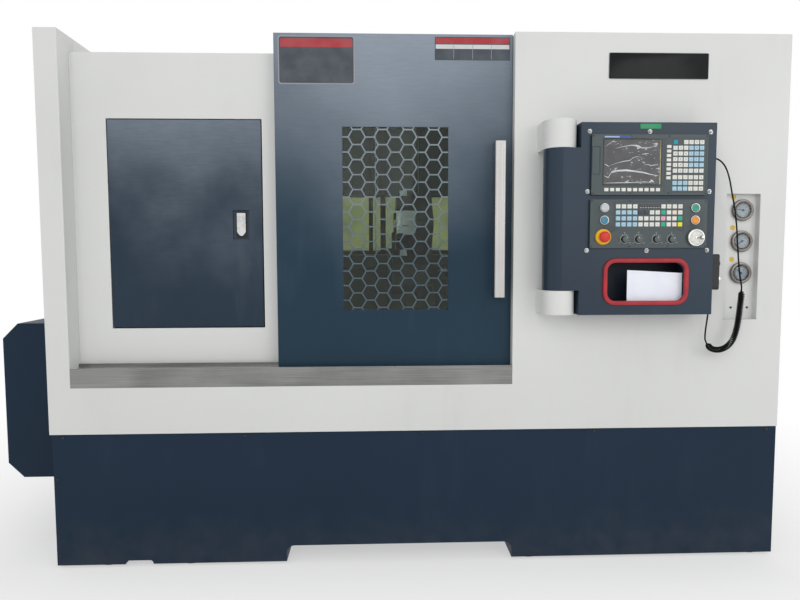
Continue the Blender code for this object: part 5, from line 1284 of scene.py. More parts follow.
@dataclass
class Enclosure:
    """The covers, the base, the motor guard and the sill, with their screws, badge and service hatches.

    Attributes:
        base_front: The y of the base's front.
        base_screws: The middles of the base's screws, as (x, z).
        badge_low: The badge's lowest corner.
        badge_high: Its highest corner.
        pads: The x of the levelling pads.
        pad_rows: The y of their two rows.
        hatches: The back's hatches, as (left, right, low, high).
        hatch_face: The y of their outer face.
        side_face: The x of the right side hatch's outer face.
    """

    base_front: float = 0.007
    base_screws: tuple[tuple[float, float], ...] = (
        (0.046, 0.49), (0.704, 0.489), (1.356, 0.493), (2.003, 0.491), (2.662, 0.49), (0.0215, 0.334), (0.0215, 0.047),
    )
    badge_low: Place = (2.03, -0.003, 1.783)
    badge_high: Place = (2.392, -0.0003, 1.873)
    pads: tuple[float, ...] = (0.184, 0.488, 1.766, 2.629)
    pad_rows: tuple[float, ...] = (0.078, 1.522)
    hatches: tuple[Panel, ...] = ((0.3, 1.24, 0.7, 1.7), (1.76, 2.6, 0.62, 1.84))
    hatch_face: float = 1.597
    side_face: float = 2.6995

    def build(self, shop: Workshop) -> None:
        """Build every piece of the enclosure.

        Args:
            shop: The workshop that makes the pieces.
        """
        for node, width in (("front_cover", 0.0025), ("left_side_cover", 0.002), ("right_side_cover", 0.002),
                            ("roof_cover", 0.0015), ("rear_cover", 0.0015), ("fixed_front_panel", 0.0015),
                            ("gauge_panel", 0.001)):
            shop.softened(node, CREAM, Body.MACHINE, width)
        shop.softened("machine_base", NAVY, Body.MACHINE, 0.003)
        shop.softened("motor_guard", NAVY, Body.MACHINE, 0.003)
        sill = shop.softened("sill_strip", STAINLESS, Body.MACHINE, 0.0006)
        # The sill's upward faces take the brighter copy: a painted reflection
        sill.data.materials.append(SILL_TOP_PAINTED_REFLECTION.material())
        for face in sill.data.polygons:
            if face.normal.z > 0.9:
                face.material_index = 1
        self.screws(shop)
        self.badge(shop)
        self.feet(shop)
        self.service_side(shop)

    def screws(self, shop: Workshop) -> None:
        """Button-head screws along the base's upper edge and on its left end.

        Args:
            shop: The workshop that makes the pieces.
        """
        head = [(0.0, 0.0), (0.0, 0.0055), (-0.0012, 0.0055), (-0.003, 0.004), (-0.0036, 0.0022), (-0.0024, 0.002),
                (-0.0024, 0.0)]
        heads = [lathed(head, Axis.Y, (x, self.base_front, z), 20) for x, z in self.base_screws]
        shop.piece("base_screws", heads, BLACK_OXIDE, Body.MACHINE)

    def badge(self, shop: Workshop) -> None:
        """The bare glossy plate at the upper right.

        Args:
            shop: The workshop that makes the pieces.
        """
        shop.piece("badge_plate", plate(self.badge_low, self.badge_high, 0.004, 0.0006), BADGE_BLACK, Body.MACHINE)
        low = (self.badge_low[0] - 0.0012, self.badge_low[1] + 0.0006, self.badge_low[2] - 0.0012)
        high = (self.badge_high[0] + 0.0012, self.badge_high[1], self.badge_high[2] + 0.0012)
        shop.piece("badge_rim", frame_ring(low, high, 0.001, 0.005), LABEL_GREY, Body.MACHINE)

    def feet(self, shop: Workshop) -> None:
        """Round cast pads round the base's own feet.

        Args:
            shop: The workshop that makes the pieces.
        """
        pad = [(0.0005, 0.0), (0.0005, 0.054), (0.004, 0.0555), (0.0095, 0.053), (0.0095, 0.0)]
        pads = [lathed(pad, Axis.Z, (x, y, 0.0), 36) for x in self.pads for y in self.pad_rows]
        shop.piece("levelling_pads", pads, BLACK_OXIDE, Body.MACHINE)

    def service_side(self, shop: Workshop) -> None:
        """Hinges, locks and screws on the back and right side hatches.

        Args:
            shop: The workshop that makes the pieces.
        """
        lock = [(0.0029, 0.0), (0.0029, 0.009), (0.0022, 0.0155), (0.0, 0.0162), (0.0, 0.0)]
        screw = [(0.0, 0.0045), (0.0024, 0.003), (0.0028, 0.0), (0.0, 0.0)]
        hinges, locks, screws = [], [], []
        back = self.hatch_face
        for left, right, low, high in self.hatches:
            for share in (0.15, 0.85):
                z = low + (high - low) * share
                hinges.append(rod((right + 0.004, back - 0.0035, z - 0.035), Axis.Z, 0.07, 0.0035, 0.0006, 16))
            locks.append(lathed(lock, Axis.Y, (left + 0.05, back, (low + high) / 2), 32))
            for share in (0.02, 0.92):
                for z in (low + 0.03, high - 0.03):
                    screws.append(lathed(screw, Axis.Y, (left + (right - left) * share, back, z), 12))
        for y in (0.46, 1.2):
            for z in (0.66, 1.76):
                screws.append(rod((self.side_face, y, z), Axis.X, 0.0005, 0.004, 0.0, 12))
        shop.piece("hatch_hinges", hinges, BLACK_OXIDE, Body.MACHINE)
        shop.piece("hatch_locks", locks, SATIN_CHROME, Body.MACHINE)
        shop.piece("hatch_screws", screws, BLACK_OXIDE, Body.MACHINE)


@dataclass
class SlidingDoor:
    """The sliding door with its grille, pane, handle and bare labels.

    Attributes:
        face: The y of the door's face.
        left_label: The left sticker, as (left, right, low, high).
        right_label: The right sticker.
    """

    face: float = 0.034
    left_label: Panel = (0.842, 1.116, 1.765, 1.935)
    right_label: Panel = (1.405, 1.678, 1.853, 1.935)

    def build(self, shop: Workshop) -> None:
        """Build every piece of the door.

        Args:
            shop: The workshop that makes the pieces.
        """
        shop.softened("sliding_door", NAVY_DOOR, Body.DOOR, 0.002)
        shop.softened("window_grille", GRILLE, Body.DOOR, 0.0003)
        shop.dressed("window_pane", WINDOW)
        shop.softened("door_handle", HANDLE_STEEL, Body.DOOR, 0.0007)
        shop.softened("door_rail", GROUND_STEEL, Body.MACHINE, 0.0)
        self.labels(shop)

    def labels(self, shop: Workshop) -> None:
        """The two stickers, left bare: plain fields and bands.

        Args:
            shop: The workshop that makes the pieces.
        """
        face = self.face - 0.0002
        layers = (
            ("left_sticker_edge", self.left_label, (0.0, 0.0, 0.0), 0.0004, 0.01, LABEL_GREY),
            ("left_sticker_field", self.left_label, (0.004, 0.004, 0.004), 0.0007, 0.008, LABEL_DARK),
            ("left_sticker_band", self.left_label, (0.008, 0.13, 0.01), 0.001, 0.004, LABEL_RED),
            ("right_sticker_field", self.right_label, (0.0, 0.0, 0.0), 0.0004, 0.003, LABEL_DARK),
            ("right_sticker_band", self.right_label, (0.003, 0.058, 0.004), 0.0007, 0.0, LABEL_RED),
            ("right_sticker_strip", self.right_label, (0.003, 0.04, 0.027), 0.0007, 0.0, LABEL_WHITE),
        )
        for name, (x0, x1, z0, z1), (side, foot, head), lift, corner, finish in layers:
            low, high = (x0 + side, face - lift, z0 + foot), (x1 - side, face - lift + 0.0004, z1 - head)
            shop.piece(name, plate(low, high, corner) if corner else slab(low, high), finish, Body.DOOR)
        x0, x1, z0, z1 = self.right_label
        rules = []
        for share in (0.25, 0.5, 0.75):
            x = x0 + (x1 - x0) * share
            rules.append(slab((x - 0.0008, face - 0.0009, z0 + 0.004), (x + 0.0008, face - 0.0003, z1 - 0.026)))
        shop.piece("right_sticker_rules", rules, LABEL_GREY, Body.DOOR)


@dataclass
class CabinetDoor:
    """The cabinet door with its lock."""

    def build(self, shop: Workshop) -> None:
        """Build every piece of the door.

        Args:
            shop: The workshop that makes the pieces.
        """
        shop.softened("cabinet_door", NAVY_CABINET, Body.CABINET, 0.0012)
        shop.softened("lock_plate", BLACK, Body.CABINET, 0.0004)
        shop.softened("lock_lever", CHROME, Body.LEVER, 0.0007)


@dataclass
class Gauges:
    """The three pressure gauges: chrome rings, dials with scales, needles and glasses, tags and spare holes.

    Attributes:
        x: The gauges' middle.
        heights: The middle of each gauge, by its CAD node.
        readings: The turn of each needle from the top, in radians.
        back: The y of the recess's back wall.
        depth: How far a gauge stands off it.
    """

    x: float = 2.551
    heights: dict[str, float] = field(default_factory=lambda: {
        "gauge_bottom": 1.081, "gauge_middle": 1.199, "gauge_top": 1.314})
    readings: tuple[float, ...] = (0.9, 2.2, 1.4)
    back: float = 0.0297
    depth: float = 0.014

    def build(self, shop: Workshop) -> None:
        """Build every gauge and the tags beside them.

        Args:
            shop: The workshop that makes the pieces.
        """
        ring = [(self.depth, 0.03), (self.depth, 0.038), (self.depth - 0.005, 0.04), (0.004, 0.04), (0.001, 0.0385),
                (0.0, 0.035), (0.0005, 0.031), (0.0025, 0.0285), (0.006, 0.0275)]
        bore = [(0.0034, 0.0248), (0.0034, 0.0283), (0.0046, 0.0272), (0.0046, 0.0248)]
        arc = [(0.0049, 0.0205), (0.0049, 0.0212), (0.0051, 0.0212), (0.0051, 0.0205)]
        glass = [(0.0022, 0.0), (0.003, 0.0284), (0.0034, 0.0284), (0.003, 0.0)]
        plug = [(0.0, 0.0), (0.0, 0.0045), (-0.002, 0.004), (-0.0026, 0.0)]
        dials, marks, needles, digits, glasses, bores = [], [], [], [], [], []
        for turn, (node, z) in zip(self.readings, self.heights.items()):
            front = (self.x, self.back - self.depth, z)
            dial = (self.x, self.back - self.depth + 0.0052, z)
            shop.piece(f"{node}_ring", lathed(ring, Axis.Y, front, 64), GAUGE_STEEL, Body.MACHINE, stands_for=[node])
            bores.append(lathed(bore, Axis.Y, front, 48))
            marks.append(lathed(arc, Axis.Y, front, 48))
            dials.append(rod(dial, Axis.Y, 0.003, 0.0285, 0.0, 48))
            for step in range(31):
                angle = math.radians(-135 + 270 * step / 30)
                inner = 0.022 if step % 5 else 0.0195
                marks.append(spoke((-0.0006, -0.0003, inner), (0.0006, -0.0001, 0.0246), angle, dial))
                if step % 10 == 0:
                    digits.append(lettering(str(step // 5), 0.0075, around(dial, 0.015, angle, 0.0002)))
            needles.append(spoke((-0.0011, -0.0012, -0.007), (0.0011, -0.0006, 0.02), -turn, dial))
            needles.append(rod(around(dial, 0.0, 0.0, 0.0016), Axis.Y, 0.0016, 0.0042, 0.0003, 20))
            glasses.append(lathed(glass, Axis.Y, front, 48))
        tags = [rod((2.5195, 0.0296, z), Axis.Y, 0.0003, 0.0095, 0.0, 28) for z in (1.363, 1.25, 1.132)]
        plugs = [lathed(plug, Axis.Y, (x, self.back, 0.951), 16) for x in (2.522, 2.584)]
        for name, shapes, finish in (
            ("dials", dials, DIAL_WHITE), ("bores", bores, GAUGE_BORE), ("marks", marks + digits, INK),
            ("needles", needles, BLACK), ("glasses", glasses, DIAL_GLASS), ("tags", tags, YELLOW_TAG),
            ("blanking_plugs", plugs, BLACK_OXIDE),
        ):
            shop.piece(f"gauge_{name}", shapes, finish, Body.MACHINE)


class KeyColour(Enum):
    """The colours of keycaps, by the letter that key maps use."""

    WHITE = "w"
    BLUE = "b"
    TEAL = "t"
    GREEN = "g"
    PINK = "p"
    PEACH = "e"
    YELLOW = "y"
    DARK = "d"

    def finish(self) -> Finish:
        """The keycaps' finish.

        Returns:
            The finish.
        """
        return {
            "w": WHITE_KEY, "b": BLUE_KEY, "t": TEAL_KEY, "g": GREEN_KEY, "p": PINK_KEY, "e": PEACH_KEY,
            "y": YELLOW_KEY, "d": DARK_KEY,
        }[self.value]


@dataclass
class KeyBank:
    """Rows of keycaps on a panel, drawn from a map with one letter for each key.

    Attributes:
        name: The bank's name.
        rows: One string for each row, with a colour letter for each key and . for none.
        first: The centre of the first row's first key, as (x, z).
        pitch: The distance to the next key and to the next row.
        size: A keycap's width and height.
        face: The panel's y.
        legends: One string for each row, with a character for each key and a blank for none.
        gap_after: The row that a wider gap follows, and its extra width.
        rise: How far a keycap stands off the panel.
    """

    name: str
    rows: Sequence[str]
    first: tuple[float, float]
    pitch: tuple[float, float]
    size: tuple[float, float]
    face: float
    legends: Sequence[str] = ()
    gap_after: tuple[int, float] = (99, 0.0)
    rise: float = 0.0026

    def build(self, shop: Workshop) -> None:
        """Build the keycaps, one piece for each colour, and their legends.

        Args:
            shop: The workshop that makes the pieces.
        """
        groups: dict[str, list[Mesh]] = {}
        signs = []
        for row, letters in enumerate(self.rows):
            z = self.first[1] - row * self.pitch[1] - (self.gap_after[1] if row > self.gap_after[0] else 0.0)
            for column, letter in enumerate(letters):
                if letter == ".":
                    continue
                x = self.first[0] + column * self.pitch[0]
                half = (self.size[0] / 2, self.size[1] / 2)
                cap = slab((x - half[0], self.face - self.rise, z - half[1]), (x + half[0], self.face, z + half[1]))
                front = [e for e in cap.edges if min(v.co.y for v in e.verts) < self.face - self.rise / 2]
                bevelled(cap, front, 0.0009, 2)
                groups.setdefault(letter, []).append(cap)
                sign = self.legends[row][column] if self.legends else " "
                if sign.strip():
                    signs.append(lettering(sign, 0.0072, (x, self.face - self.rise - 0.00005, z)))
        for letter, caps in groups.items():
            colour = KeyColour(letter)
            shop.piece(f"{self.name}_{colour.name.lower()}", caps, colour.finish(), Body.PENDANT)
        if signs:
            shop.piece(f"{self.name}_legends", signs, INK, Body.PENDANT)


@dataclass
class Pendant:
    """The swivelling pendant: brackets, housing, control unit, operator panel, papers and hand unit.

    Attributes:
        pivot_y: The y of the swivel's axis.
        right: The x of the housing's right side.
        face: The y of the housing's face.
        unit_face: The y of the control unit's and the operator panel's face.
        unit: The control unit, as (left, right, low, high).
        operator: The operator panel.
        display: The display.
        pocket_low: The lowest corner of the document pocket's inside.
        pocket_high: Its highest corner.
    """

    pivot_y: float = -0.076
    right: float = 2.365
    face: float = -0.13
    unit_face: float = -0.1413
    unit: Panel = (1.926, 2.329, 1.355, 1.56)
    operator: Panel = (1.924, 2.332, 1.174, 1.34)
    display: Panel = (1.968, 2.166, 1.391, 1.543)
    pocket_low: Place = (1.983, -0.1275, 0.98)
    pocket_high: Place = (2.267, -0.044, 1.129)

    def build(self, shop: Workshop) -> None:
        """Build every piece of the pendant.

        Args:
            shop: The workshop that makes the pieces.
        """
        shop.softened("bracket_upper", CREAM, Body.MACHINE, 0.0015)
        shop.softened("bracket_lower", CREAM, Body.MACHINE, 0.0015)
        shop.softened("pivot_post", SATIN_CHROME, Body.MACHINE, 0.0006)
        self.housing(shop)
        shop.softened("cnc_unit", PANEL_GREY, Body.PENDANT, 0.0006)
        shop.softened("operator_panel", PANEL_GREY, Body.PENDANT, 0.0006)
        shop.softened("card_flap", PANEL_GREY, Body.FLAP, 0.0003)
        shop.dressed("display_glass", SCREEN)
        bead = frame_ring((1.9755, -0.139, 0.9755), (2.2765, -0.1303, 1.138), 0.015, 0.042, 0.004)
        shop.piece("pocket_trim_bead", bead, RED_RUBBER, Body.PENDANT, stands_for=["pocket_trim"])
        self.nuts(shop)
        self.keys(shop)
        self.unit_lines(shop)
        self.film(shop)
        self.buttons(shop)
        self.stop(shop)
        self.knobs(shop)
        self.pulser(shop)
        self.papers(shop)
        self.hand_unit(shop)

    def housing(self, shop: Workshop) -> None:
        """The housing, with painted shade on the document pocket's inside: its faces there take a near-black finish.

        Args:
            shop: The workshop that makes the pieces.
        """
        made = shop.softened("pendant_housing", NAVY_PENDANT, Body.PENDANT, 0.0015)
        made.data.materials.append(POCKET_PAINTED_SHADE.material())
        # Faces inside the pocket get the painted shade
        low, high = Vector(self.pocket_low) + shop.shift, Vector(self.pocket_high) + shop.shift
        for face in made.data.polygons:
            if all(a < c < b for a, c, b in zip(low, face.center, high)):
                face.material_index = 1

    def nuts(self, shop: Workshop) -> None:
        """Domed nuts round both panels, panel screws and the green tag.

        Args:
            shop: The workshop that makes the pieces.
        """
        places = [(1.921, 1.5716), (2.1295, 1.5717), (2.3415, 1.5706), (1.917, 1.3681), (2.343, 1.368),
                  (1.917, 1.166), (2.1275, 1.1649), (2.3405, 1.1655)]
        dome = [(-0.005, 0.0), (-0.005, 0.005), (-0.007, 0.0044), (-0.0086, 0.0028), (-0.0092, 0.0)]
        nuts = []
        for x, z in places:
            nuts.append(rod((x, self.face - 0.0003, z), Axis.Y, -0.0008, 0.0075, 0.0, 24))
            nuts.append(rod((x, self.face - 0.0011, z), Axis.Y, -0.0042, 0.0062, 0.0004, 6))
            nuts.append(lathed(dome, Axis.Y, (x, self.face, z), 16))
        shop.piece("panel_nuts", nuts, SATIN_CHROME, Body.PENDANT)
        head = [(0.0002, 0.0), (0.0002, 0.0026), (-0.001, 0.0022), (-0.0013, 0.0011), (-0.0005, 0.001), (-0.0005, 0.0)]
        margin = 0.0055
        screws = []
        for x0, x1, z0, z1 in (self.unit, self.operator):
            for x in (x0 + margin, x0 + (x1 - x0) * 0.335, x0 + (x1 - x0) * 0.665, x1 - margin):
                for z in (z0 + margin, z1 - margin):
                    screws.append(lathed(head, Axis.Y, (x, self.unit_face, z), 14))
        shop.piece("panel_screws", screws, BLACK_OXIDE, Body.PENDANT)
        tag = plate((2.095, self.face - 0.0013, 1.5805), (2.168, self.face - 0.0004, 1.5975), 0.003, 0.0002)
        shop.piece("green_tag", tag, GREEN_TAG, Body.PENDANT)

    def keys(self, shop: Workshop) -> None:
        """The data keypad, the soft keys under and beside the display, and the operator panel's keys.

        Args:
            shop: The workshop that makes the pieces.
        """
        face = self.unit_face
        KeyBank(
            "data_keys",
            ["t.wwww", "wwwbbb", "wwwbbb", "wwwbbb", "wwwbbb", "wwwwww", "wwwwww", "bbbwww", "bbbwww"],
            (2.214, 1.534), (0.0184, 0.0193), (0.015, 0.014), face,
            ["/ OGNX", "XZU789", "WIR456", "KDH123", "LMST0.", "PQEFVY", "+-=()%", "<^>ABC", "_v.J;#"], (5, 0.003),
        ).build(shop)
        KeyBank("soft_keys", ["w" * 10], (1.9775, 1.373), (0.0199, 0.02), (0.0143, 0.0113), face).build(shop)
        KeyBank("side_keys", ["w"] * 8, (2.192, 1.5188), (0.02, 0.0151), (0.015, 0.01), face).build(shop)
        KeyBank(
            "panel_keys",
            ["wwww....wwww", "bbbbddwwgwew", "bbbbwwwwpwwg", "bbbbwwwwgwey"],
            (2.02, 1.316), (0.0197, 0.0205), (0.015, 0.014), face,
            ["1234    +X-Z", "<^>v  56+  -", "1234+-XZ0  +", "5678<>^v-  +"],
        ).build(shop)

    def unit_lines(self, shop: Workshop) -> None:
        """Thin raised frames round the keypads, the display's surround, its strip and the status lights.

        Args:
            shop: The workshop that makes the pieces.
        """
        face = self.unit_face
        frames = [
            frame_ring((2.1775, face - 0.0006, 1.364), (2.3235, face + 0.0001, 1.5485), 0.0009, 0.003),
            frame_ring((2.0065, face - 0.0006, 1.235), (2.2505, face + 0.0001, 1.333), 0.0009, 0.003),
            frame_ring((1.927, face - 0.0004, 1.4245), (1.9565, face + 0.0001, 1.519), 0.0008, 0.001),
        ]
        shop.piece("keypad_frames", frames, PANEL_LINE, Body.PENDANT)
        x0, x1, z0, z1 = self.display
        shop.piece("display_surround", frame_ring((x0 - 0.0035, face - 0.0012, z0 - 0.0035),
                                                  (x1 + 0.0035, face + 0.0001, z1 + 0.0035), 0.003, 0.002, 0.0006),
                   PANEL_LINE, Body.PENDANT)
        for name, finish, low, high in (
            ("display_strip", BLUE_STRIP, (1.968, face - 0.0006, 1.548), (2.061, face - 0.0001, 1.5545)),
            ("display_strip_end", PALE_STRIP, (1.9684, face - 0.0008, 1.5486), (2.02, face - 0.0004, 1.5539)),
            ("status_window", DARK_KEY, (2.0925, face - 0.0007, 1.308), (2.168, face - 0.0001, 1.3225)),
        ):
            shop.piece(name, plate(low, high, 0.001), finish, Body.PENDANT)
        lamps = [rod((2.0985 + 0.009 * i, face - 0.0006, 1.319), Axis.Y, -0.0006, 0.0011, 0.0, 10) for i in range(8)]
        shop.piece("status_lamps", lamps, RED, Body.PENDANT)
        strokes = [slab((2.0965 + 0.009 * i, face - 0.0009, 1.311), (2.1015 + 0.009 * i, face - 0.0006, 1.3125))
                   for i in range(8)]
        shop.piece("status_strokes", strokes, WHITE_INK, Body.PENDANT)

    def film(self, shop: Workshop) -> None:
        """The creased protective film on the display: painted highlights as bright ridges and short flecks, white
        strips that stand for light caught on its creases, and a crumpled right edge.

        Args:
            shop: The workshop that makes the pieces.
        """
        x0, x1, z0, z1 = self.display
        wide, high = x1 - x0, z1 - z0
        face = self.unit_face + 0.0008

        def spots(points: Sequence[Point]) -> list[tuple[float, float]]:
            """Shares of the display's width and of its height from the top, as (x, z)."""
            return [(x0 + u * wide, z1 - v * high) for u, v in points]

        ridges = [
            ([(0.01, 0.17), (0.08, 0.11), (0.14, 0.06), (0.18, 0.01)], 0.0012),
            ([(0.2, 0.2), (0.34, 0.165), (0.48, 0.14), (0.6, 0.155), (0.66, 0.2), (0.8, 0.19), (0.9, 0.13)],
             0.0034),
            ([(0.01, 0.555), (0.05, 0.58), (0.09, 0.61)], 0.0028),
            ([(0.09, 0.59), (0.22, 0.53), (0.36, 0.49), (0.45, 0.475), (0.5, 0.42), (0.56, 0.385), (0.68, 0.4)],
             0.002),
            ([(0.01, 0.81), (0.08, 0.86), (0.13, 0.75), (0.24, 0.715), (0.39, 0.705), (0.54, 0.725), (0.7, 0.75),
              (0.82, 0.785), (0.96, 0.81)], 0.0058),
            ([(0.0, 0.975), (0.24, 0.97), (0.5, 0.965), (0.72, 0.95), (0.86, 0.955)], 0.0022),
            ([(0.8, 0.955), (0.85, 0.93), (0.88, 0.955)], 0.005),
            ([(0.66, 0.335), (0.72, 0.33), (0.78, 0.315)], 0.0028),
            ([(0.7, 0.57), (0.78, 0.56), (0.81, 0.59), (0.88, 0.575), (0.95, 0.56)], 0.0024),
        ]
        strips = [ribbon(spots(line), width, face) for line, width in ridges]
        flecks = [(0.66, 0.06), (0.62, 0.075), (0.72, 0.085), (0.78, 0.07), (0.28, 0.13), (0.45, 0.3), (0.49, 0.29),
                  (0.6, 0.27), (0.62, 0.34), (0.66, 0.44), (0.7, 0.42), (0.74, 0.36), (0.82, 0.34), (0.88, 0.42),
                  (0.9, 0.24), (0.86, 0.25), (0.58, 0.43), (0.61, 0.47), (0.68, 0.5), (0.4, 0.22), (0.34, 0.23),
                  (0.64, 0.66), (0.6, 0.67), (0.84, 0.65), (0.44, 0.83), (0.65, 0.9), (0.5, 0.91), (0.6, 0.93),
                  (0.17, 0.28), (0.24, 0.1), (0.74, 0.055), (0.56, 0.12)]
        for i, (u, v) in enumerate(flecks):
            reach = 0.01 + 0.006 * ((i * 7) % 5) / 4
            slope = 0.012 * (((i * 5) % 7) / 6 - 0.5)
            line = [(u - reach, v + slope), (u, v), (u + reach, v - slope)]
            strips.append(ribbon(spots(line), 0.0008 + 0.0008 * ((i * 3) % 4) / 3, face))
        shop.piece("film_painted_highlights", strips, CREASE_HIGHLIGHT, Body.PENDANT)
        edge = []
        for i in range(24):
            v = (i + 0.5) / 24
            sway = 0.006 * math.sin(i * 1.7) + 0.004 * math.sin(i * 0.6)
            line = [(0.975 + sway, v - 0.024), (0.985 + sway * 0.5, v), (0.978 - sway * 0.6, v + 0.024)]
            edge.append(ribbon(spots(line), 0.005, self.unit_face + 0.0006))
        for i in range(12):
            v = (i + 0.5) / 12
            edge.append(slab((x1 - 0.0028 - 0.0008 * (i % 3), self.unit_face + 0.0002, z1 - (v + 0.04) * high),
                             (x1 - 0.0006, self.unit_face + 0.0009, z1 - (v - 0.04) * high), 0.0002, 1))
        shop.piece("film_edge", edge, FILM_EDGE, Body.PENDANT)

    def buttons(self, shop: Workshop) -> None:
        """The four press buttons, with their bright bezels.

        Args:
            shop: The workshop that makes the pieces.
        """
        bezel = [(0.0002, 0.0127), (0.0002, 0.0162), (-0.0042, 0.0159), (-0.0056, 0.015), (-0.0058, 0.0136),
                 (-0.005, 0.0126)]
        cap = [(0.0006, 0.0), (0.0006, 0.0046), (-0.0002, 0.0058), (0.0, 0.01), (0.0016, 0.012), (0.009, 0.0121),
               (0.009, 0.0)]
        bezels = []
        for body, x, z, finish in (
            (Body.SILVER, 1.972, 1.311, SILVER_CAP), (Body.BLUE, 1.972, 1.269, BLUE_CAP),
            (Body.GREEN, 2.289, 1.311, GREEN_CAP), (Body.ORANGE, 2.289, 1.269, ORANGE_CAP),
        ):
            node = f"button_{body.value}"
            bezels.append(lathed(bezel, Axis.Y, (x, self.unit_face, z), 40))
            made = lathed(cap, Axis.Y, (x, self.unit_face - 0.007, z), 40)
            shop.piece(f"{node}_cap", made, finish, body, smooth=50.0, stands_for=[node])
        shop.piece("button_bezels", bezels, SATIN_CHROME, Body.PENDANT)

    def stop(self, shop: Workshop) -> None:
        """The emergency stop: yellow collar and red mushroom.

        Args:
            shop: The workshop that makes the pieces.
        """
        x, z = 1.97, 1.212
        collar = [(0.0, 0.01), (0.0, 0.027), (-0.003, 0.0268), (-0.0052, 0.025), (-0.006, 0.0215),
                  (-0.006, 0.01)]
        made = lathed(collar, Axis.Y, (x, self.unit_face - 0.0003, z), 64)
        shop.piece("stop_collar", made, YELLOW, Body.PENDANT, stands_for=["estop_collar"])
        cap = [(0.0, 0.0), (0.0002, 0.006), (0.0012, 0.012), (0.0032, 0.0162), (0.0065, 0.0184), (0.01, 0.0186),
               (0.0138, 0.0172), (0.0142, 0.0092), (0.03, 0.009), (0.03, 0.0)]
        made = lathed(cap, Axis.Y, (x, self.unit_face - 0.0258, z), 64)
        shop.piece("stop_button", made, RED, Body.ESTOP, smooth=50.0, stands_for=["estop_button"])

    def knobs(self, shop: Workshop) -> None:
        """The four selector knobs with fluted skirts and pointers, and their scales on the panel.

        Args:
            shop: The workshop that makes the pieces.
        """
        skirt = [(0.0, 0.0), (0.0, 0.013), (-0.0018, 0.0132), (-0.003, 0.0128), (-0.0112, 0.0124), (-0.0122, 0.0114),
                 (-0.0124, 0.0)]
        top = [(-0.0122, 0.0), (-0.0122, 0.0112), (-0.0132, 0.0108), (-0.0138, 0.0092), (-0.0136, 0.0)]
        ring = [(0.0001, 0.0136), (0.0001, 0.0154), (-0.0004, 0.0154), (-0.0004, 0.0136)]
        face, z = self.unit_face, 1.204
        base = face - 0.0003
        ticks = []
        for body, x, lean in ((Body.MODE, 2.045, 0.6), (Body.FEED, 2.094, -0.5), (Body.SPEED, 2.156, 0.2),
                              (Body.STEP, 2.209, 0.9)):
            node = f"knob_{body.value}"
            knob = lathed(skirt, Axis.Y, (x, base, z), 60)
            self.fluted(knob, x, z, base - 0.0025)
            cap = lathed(top, Axis.Y, (x, base, z), 40)
            mark = slab((x - 0.0005, base - 0.0142, z + 0.003), (x + 0.0005, base - 0.0132, z + 0.0104))
            for name, part, finish, stands_for in ((f"{node}_turned", knob, BLACK, [node]),
                                                   (f"{node}_cap", cap, KNOB_CAP, []),
                                                   (f"{node}_mark", mark, WHITE_INK, [])):
                turn = Matrix.Rotation(lean, 3, "Y")
                bmesh.ops.rotate(part, cent=(x, 0.0, z), matrix=turn, verts=part.verts[:])
                shop.piece(name, part, finish, body, smooth=35.0, stands_for=stands_for)
            dial = (x, face, z)
            for step in range(11):
                angle = math.radians(-125 + 25 * step)
                outer = 0.0192 if step % 5 else 0.0206
                ticks.append(spoke((-0.0006, -0.0002, 0.0166), (0.0006, -0.00005, outer), angle, dial))
                if step % 5 == 0:
                    ticks.append(lettering(str(10 * step), 0.0056, around(dial, 0.0232, angle, 0.0001)))
            ticks.append(lathed(ring, Axis.Y, dial, 48))
        shop.piece("knob_scales", ticks, SCALE_INK, Body.PENDANT)

    def fluted(self, knob: Mesh, x: float, z: float, start: float) -> None:
        """Press flutes into a knob's skirt.

        Args:
            knob: The knob's mesh.
            x: The x of its axis.
            z: The z of its axis.
            start: The y that the flutes lie in front of.
        """
        flutes, depth, inner_radius = 20, 0.03, 0.012
        for vert in knob.verts:
            away = Vector((vert.co.x - x, 0.0, vert.co.z - z))
            if away.length > inner_radius and vert.co.y < start:
                wave = depth * math.cos(math.atan2(away.z, away.x) * flutes)
                vert.co.x += away.x * wave
                vert.co.z += away.z * wave

    def pulser(self, shop: Workshop) -> None:
        """The pulse wheel: a rim, a bright face with a scale, and a crank grip.

        Args:
            shop: The workshop that makes the pieces.
        """
        x, z = 2.292, 1.209
        front = self.unit_face - 0.0123
        face = front + 0.0012
        dial, grip = (x, face, z), (x + 0.013, front, z)
        rim = [(0.012, 0.0), (0.012, 0.029), (0.01, 0.0295), (0.002, 0.0295), (0.0, 0.0278), (0.0, 0.025),
               (0.0012, 0.0238), (0.0012, 0.0)]
        wheel = lathed(rim, Axis.Y, (x, front, z), 96)
        shop.piece("pulse_wheel_disc", wheel, SATIN_CHROME, Body.PULSER, stands_for=["pulse_wheel"])
        plain_face = rod((x, face - 0.0001, z), Axis.Y, -0.0006, 0.0232, 0.0002, 64)
        shop.piece("pulse_wheel_face", plain_face, WHITE_KEY, Body.PULSER)
        marks = []
        for step in range(50):
            angle = math.tau * step / 50
            inner = 0.0208 if step % 5 else 0.0195
            marks.append(spoke((-0.0002, -0.0009, inner), (0.0002, -0.0006, 0.0226), angle, dial))
            if step % 10 == 0:
                marks.append(lettering(str(step * 2), 0.005, around(dial, 0.0165, angle, 0.0007)))
        shop.piece("pulse_wheel_scale", marks, INK, Body.PULSER)
        crank = [(0.002, 0.0), (0.002, 0.0034), (-0.003, 0.0034), (-0.0036, 0.0046), (-0.008, 0.0058),
                 (-0.013, 0.0056), (-0.016, 0.004), (-0.0169, 0.0)]
        shop.piece("pulse_wheel_grip", lathed(crank, Axis.Y, grip, 24), SATIN_CHROME, Body.PULSER)
        band = [(-0.0078, 0.0052), (-0.0078, 0.0062), (-0.0104, 0.0062), (-0.0104, 0.0052)]
        shop.piece("pulse_wheel_grip_band", lathed(band, Axis.Y, grip, 24), BLACK, Body.PULSER)
        hub = [(0.0, 0.0), (0.0, 0.0055), (-0.0022, 0.005), (-0.0028, 0.0)]
